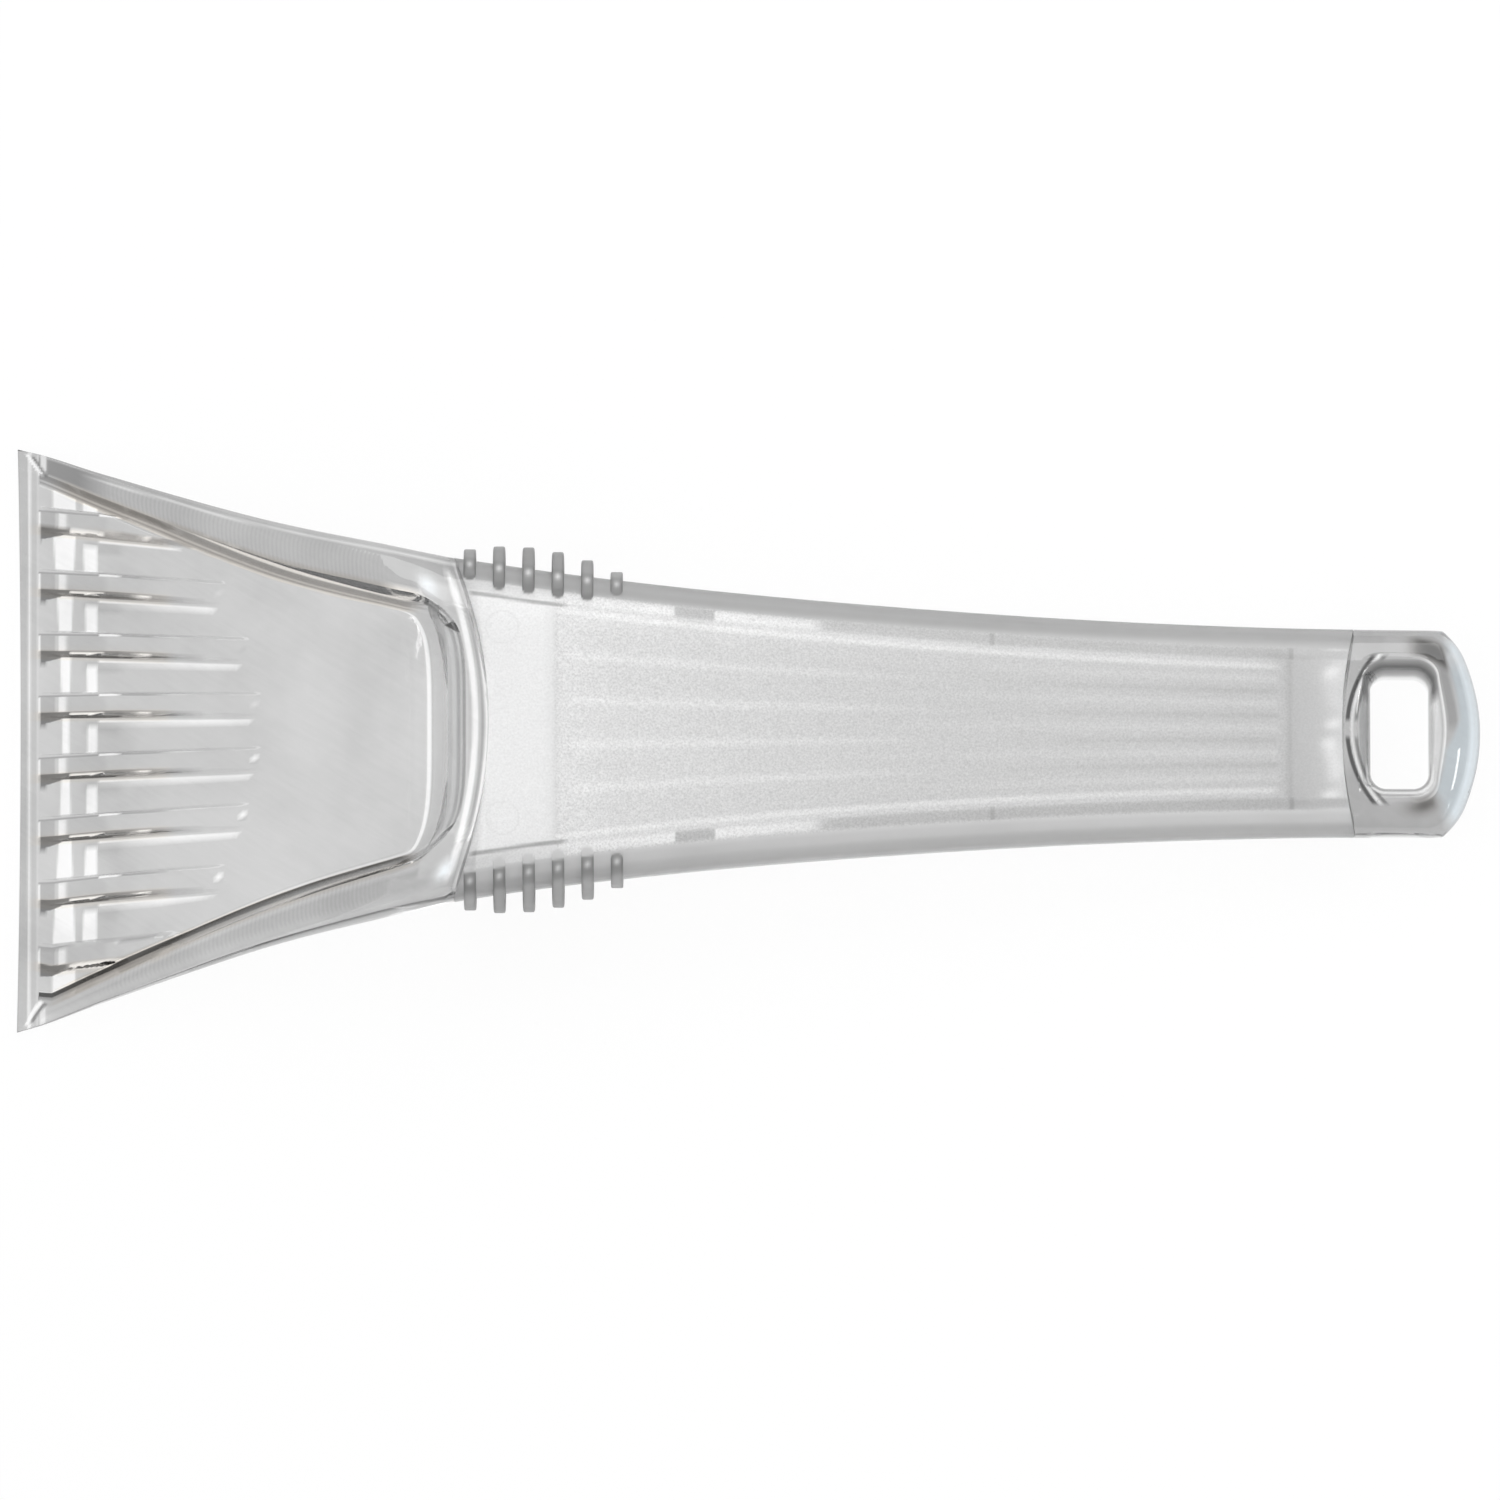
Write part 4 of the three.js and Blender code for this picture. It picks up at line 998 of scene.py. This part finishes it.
def loop_tint_and_painted_light(x, y):
    """Tint of the loop with painted light and shade: painted shade round the throat, a painted dark bow with a bright
    line on the handle's side, painted bright lines beside the mouth, painted shade at the two outer corners and
    painted light along the tip's edge."""
    across, along = y, x - HOLE_X
    turn = np.arctan2(across, along)
    reach = np.hypot(across, along)
    out = reach - radius_at(hole_outline(), turn % (2 * np.pi))
    tip = np.cos(turn)
    t = graded(out, (0, 0.5), (0.5, 0.46), (1.2, 0.54), (2.2, 0.54), (3, 0.5), (5, 0.52))
    t = over(t, patch(out, 2.6, 9, 0.3) * patch(np.abs(np.sin(turn)), 0.7, 1, 0.1), 0.47)
    left = patch(tip, -1, -0.2, 0.15)
    gap = 1 - patch(np.abs(across), 0, 0.9, 0.8)
    t = over(t, patch(out, 0, 0.8, 0.2) * left, 0.4)
    arc = np.hypot(along - 9.65, across) - 17.7
    bow = patch(np.abs(across), 0, 11.2, 0.6) * patch(-along, 0, 20)
    t = over(t, patch(arc, -0.15, 0.3, 0.2) * bow * gap, 0.08)
    t = over(t, patch(arc, -0.7, -0.45, 0.2) * bow, 0.85)
    t = over(t, patch(arc, -1.4, -1.1, 0.2) * bow * gap, 0.24)
    right = patch(tip, 0.35, 1, 0.2)
    beside = graded(out, (0, 0.44), (0.6, 0.6), (1, 0.78), (1.7, 0.74), (2.2, 0.48))
    t = over(t, patch(out, 0, 2.2, 0.2) * right, beside)
    t = over(t, patch(out, 2.4, 2.6, 0.15) * right, 0.9)
    t = over(t, patch(out, 3.2, 4.2, 0.5) * patch(turn, 0.15, 0.95, 0.25), 0.36)
    t = over(t, patch(out, 0.8, 1.1, 0.2) * patch(np.abs(np.abs(turn) - 1.0), 0, 0.04, 0.04), 1)
    far_mouth = graded(out, (0, 0.36), (1, 0.14), (2, 0.3))
    t = over(t, patch(out, 0.1, 2.0, 0.4) * patch(np.sin(turn), 0.75, 1, 0.15), far_mouth)
    t = over(t, patch(out, 0.3, 0.5, 0.2) * patch(-np.sin(turn), 0.8, 1, 0.1), 0.25)
    t = over(t, patch(out, 0.9, 1.1, 0.2) * patch(-np.sin(turn), 0.8, 1, 0.1), 0.95)
    far_shade, near_shade = corner_shades(x, y)
    t = over(over(t, far_shade, 0.05), near_shade, 0.14)
    back = loop_end(y / half_width(x)) - x
    return over(t, tip_light(x, y), graded(back, (0, 0.6), (0.5, 0.86), (1.3, 0.86), (2.1, 0.66), (3.4, 0.6)))


x, y = loop_upper[..., 0], loop_upper[..., 1]
count = len(loop_points)
# Attributes: the loop's tint with painted light and shade, squared, and the painted cast of the light: cool along the
# tip, warm in the corners' shade.
loop_marks = {
    "tint_and_painted_light": marked(loop_tint_and_painted_light(x, y) ** 2, 1, count),
    "wall": np.full(count, -1.0),
    "which": np.zeros(count),
    "rim": np.zeros(count),
    "pass": np.zeros(count),
    "cool": marked(tip_light(x, y) - 0.6 * sum(corner_shades(x, y)), 0, count),
}
moulding("loop_moulding", loop_points, loop_faces, loop_marks, clear, "hanging_loop")

# Studio: a pale floor under the tool, a soft world that darkens towards the horizon, and softboxes overhead.
scene = bpy.context.scene
scene.view_settings.view_transform = "Standard"
FLOOR_WHITE = 0.9  # share of plain white in the floor


def floor_material():
    """White floor: lit paper mixed with plain white for what the camera sees directly, mirrored or through
    the plastic, so that it stays white and keeps a faint shadow."""
    made = bpy.data.materials.new("floor_paper")
    made.use_nodes = True
    nodes, links = made.node_tree.nodes, made.node_tree.links
    paper = nodes["Principled BSDF"]
    paper.inputs["Base Color"].default_value = (0.9, 0.9, 0.9, 1)
    paper.inputs["Roughness"].default_value = 0.9
    white = node_of(made, "ShaderNodeEmission", Color=(1, 1, 1, 1), Strength=1.0)
    path = node_of(made, "ShaderNodeLightPath")
    rays = [path.outputs[f"Is {ray} Ray"] for ray in ("Camera", "Glossy", "Transmission")]
    direct = chained(made, "MAXIMUM", *rays)
    both = node_of(
        made, "ShaderNodeMixShader", ("Fac", chained(made, "MULTIPLY", direct, FLOOR_WHITE)),
        (1, paper.outputs["BSDF"]), (2, white.outputs["Emission"]),
    )
    links.new(both.outputs["Shader"], nodes["Material Output"].inputs["Surface"])
    return made


floor_mesh = bpy.data.meshes.new("floor")
floor_mesh.from_pydata([(-2, -2, 0), (2, -2, 0), (2, 2, 0), (-2, 2, 0)], [], [(0, 1, 2, 3)])
floor_mesh.materials.append(floor_material())
floor = bpy.data.objects.new("floor", floor_mesh)
floor.location.z = -0.0002
scene.collection.objects.link(floor)

world = bpy.data.worlds.new("studio")
scene.world = world
world.use_nodes = True
coords = node_of(world, "ShaderNodeTexCoord")
split = node_of(world, "ShaderNodeSeparateXYZ", ("Vector", coords.outputs["Generated"]))
sky = ranged(world, split.outputs["Z"], (0.0, 0.8), (0.3, 1.0))
path = node_of(world, "ShaderNodeLightPath")
direct = chained(world, "MAXIMUM", path.outputs["Is Camera Ray"], path.outputs["Is Transmission Ray"])
seen = node_of(world, "ShaderNodeMix", (0, direct), (2, sky))
seen.inputs[3].default_value = 0.95
background = world.node_tree.nodes["Background"]
background.inputs["Color"].default_value = (1, 1, 1, 1)
world.node_tree.links.new(seen.outputs[0], background.inputs["Strength"])


def softbox(name, place, aim, size, power):
    """Rectangular area lamp at a place, turned to shine at an aim point."""
    lamp = bpy.data.lights.new(name, "AREA")
    lamp.shape = "RECTANGLE"
    lamp.size, lamp.size_y = size
    lamp.energy = power
    made = bpy.data.objects.new(name, lamp)
    made.location = place
    away = np.array(place) - np.array(aim)
    made.rotation_euler = (math.acos(away[2] / np.linalg.norm(away)), 0, math.atan2(away[1], away[0]) + math.pi / 2)
    scene.collection.objects.link(made)


softbox("side_softbox", (0.0, 0.8, 0.8), (0, 0, 0), (0.9, 0.6), 4.0)
softbox("end_softbox", (0.85, -0.1, 0.7), (0.1, -0.1, 0), (0.3, 0.2), 2.0)

# Camera: nearly straight down, leaning a little to the tool's near side, as the photo was taken.
TILT = math.radians(6.5)
ROLL = math.radians(-0.1)
FRAME_WIDTH = 0.2302
DISTANCE = 4.0
SENSOR = 36
camera = bpy.data.objects.new("camera", bpy.data.cameras.new("camera"))
camera.data.sensor_width = SENSOR
camera.data.lens = SENSOR * DISTANCE / FRAME_WIDTH
target = np.array([-0.0005, -0.00267, 0.010])
camera.location = target + DISTANCE * np.array([0, -math.sin(TILT), math.cos(TILT)])
camera.rotation_euler = (TILT, 0, ROLL)
scene.collection.objects.link(camera)
scene.camera = camera
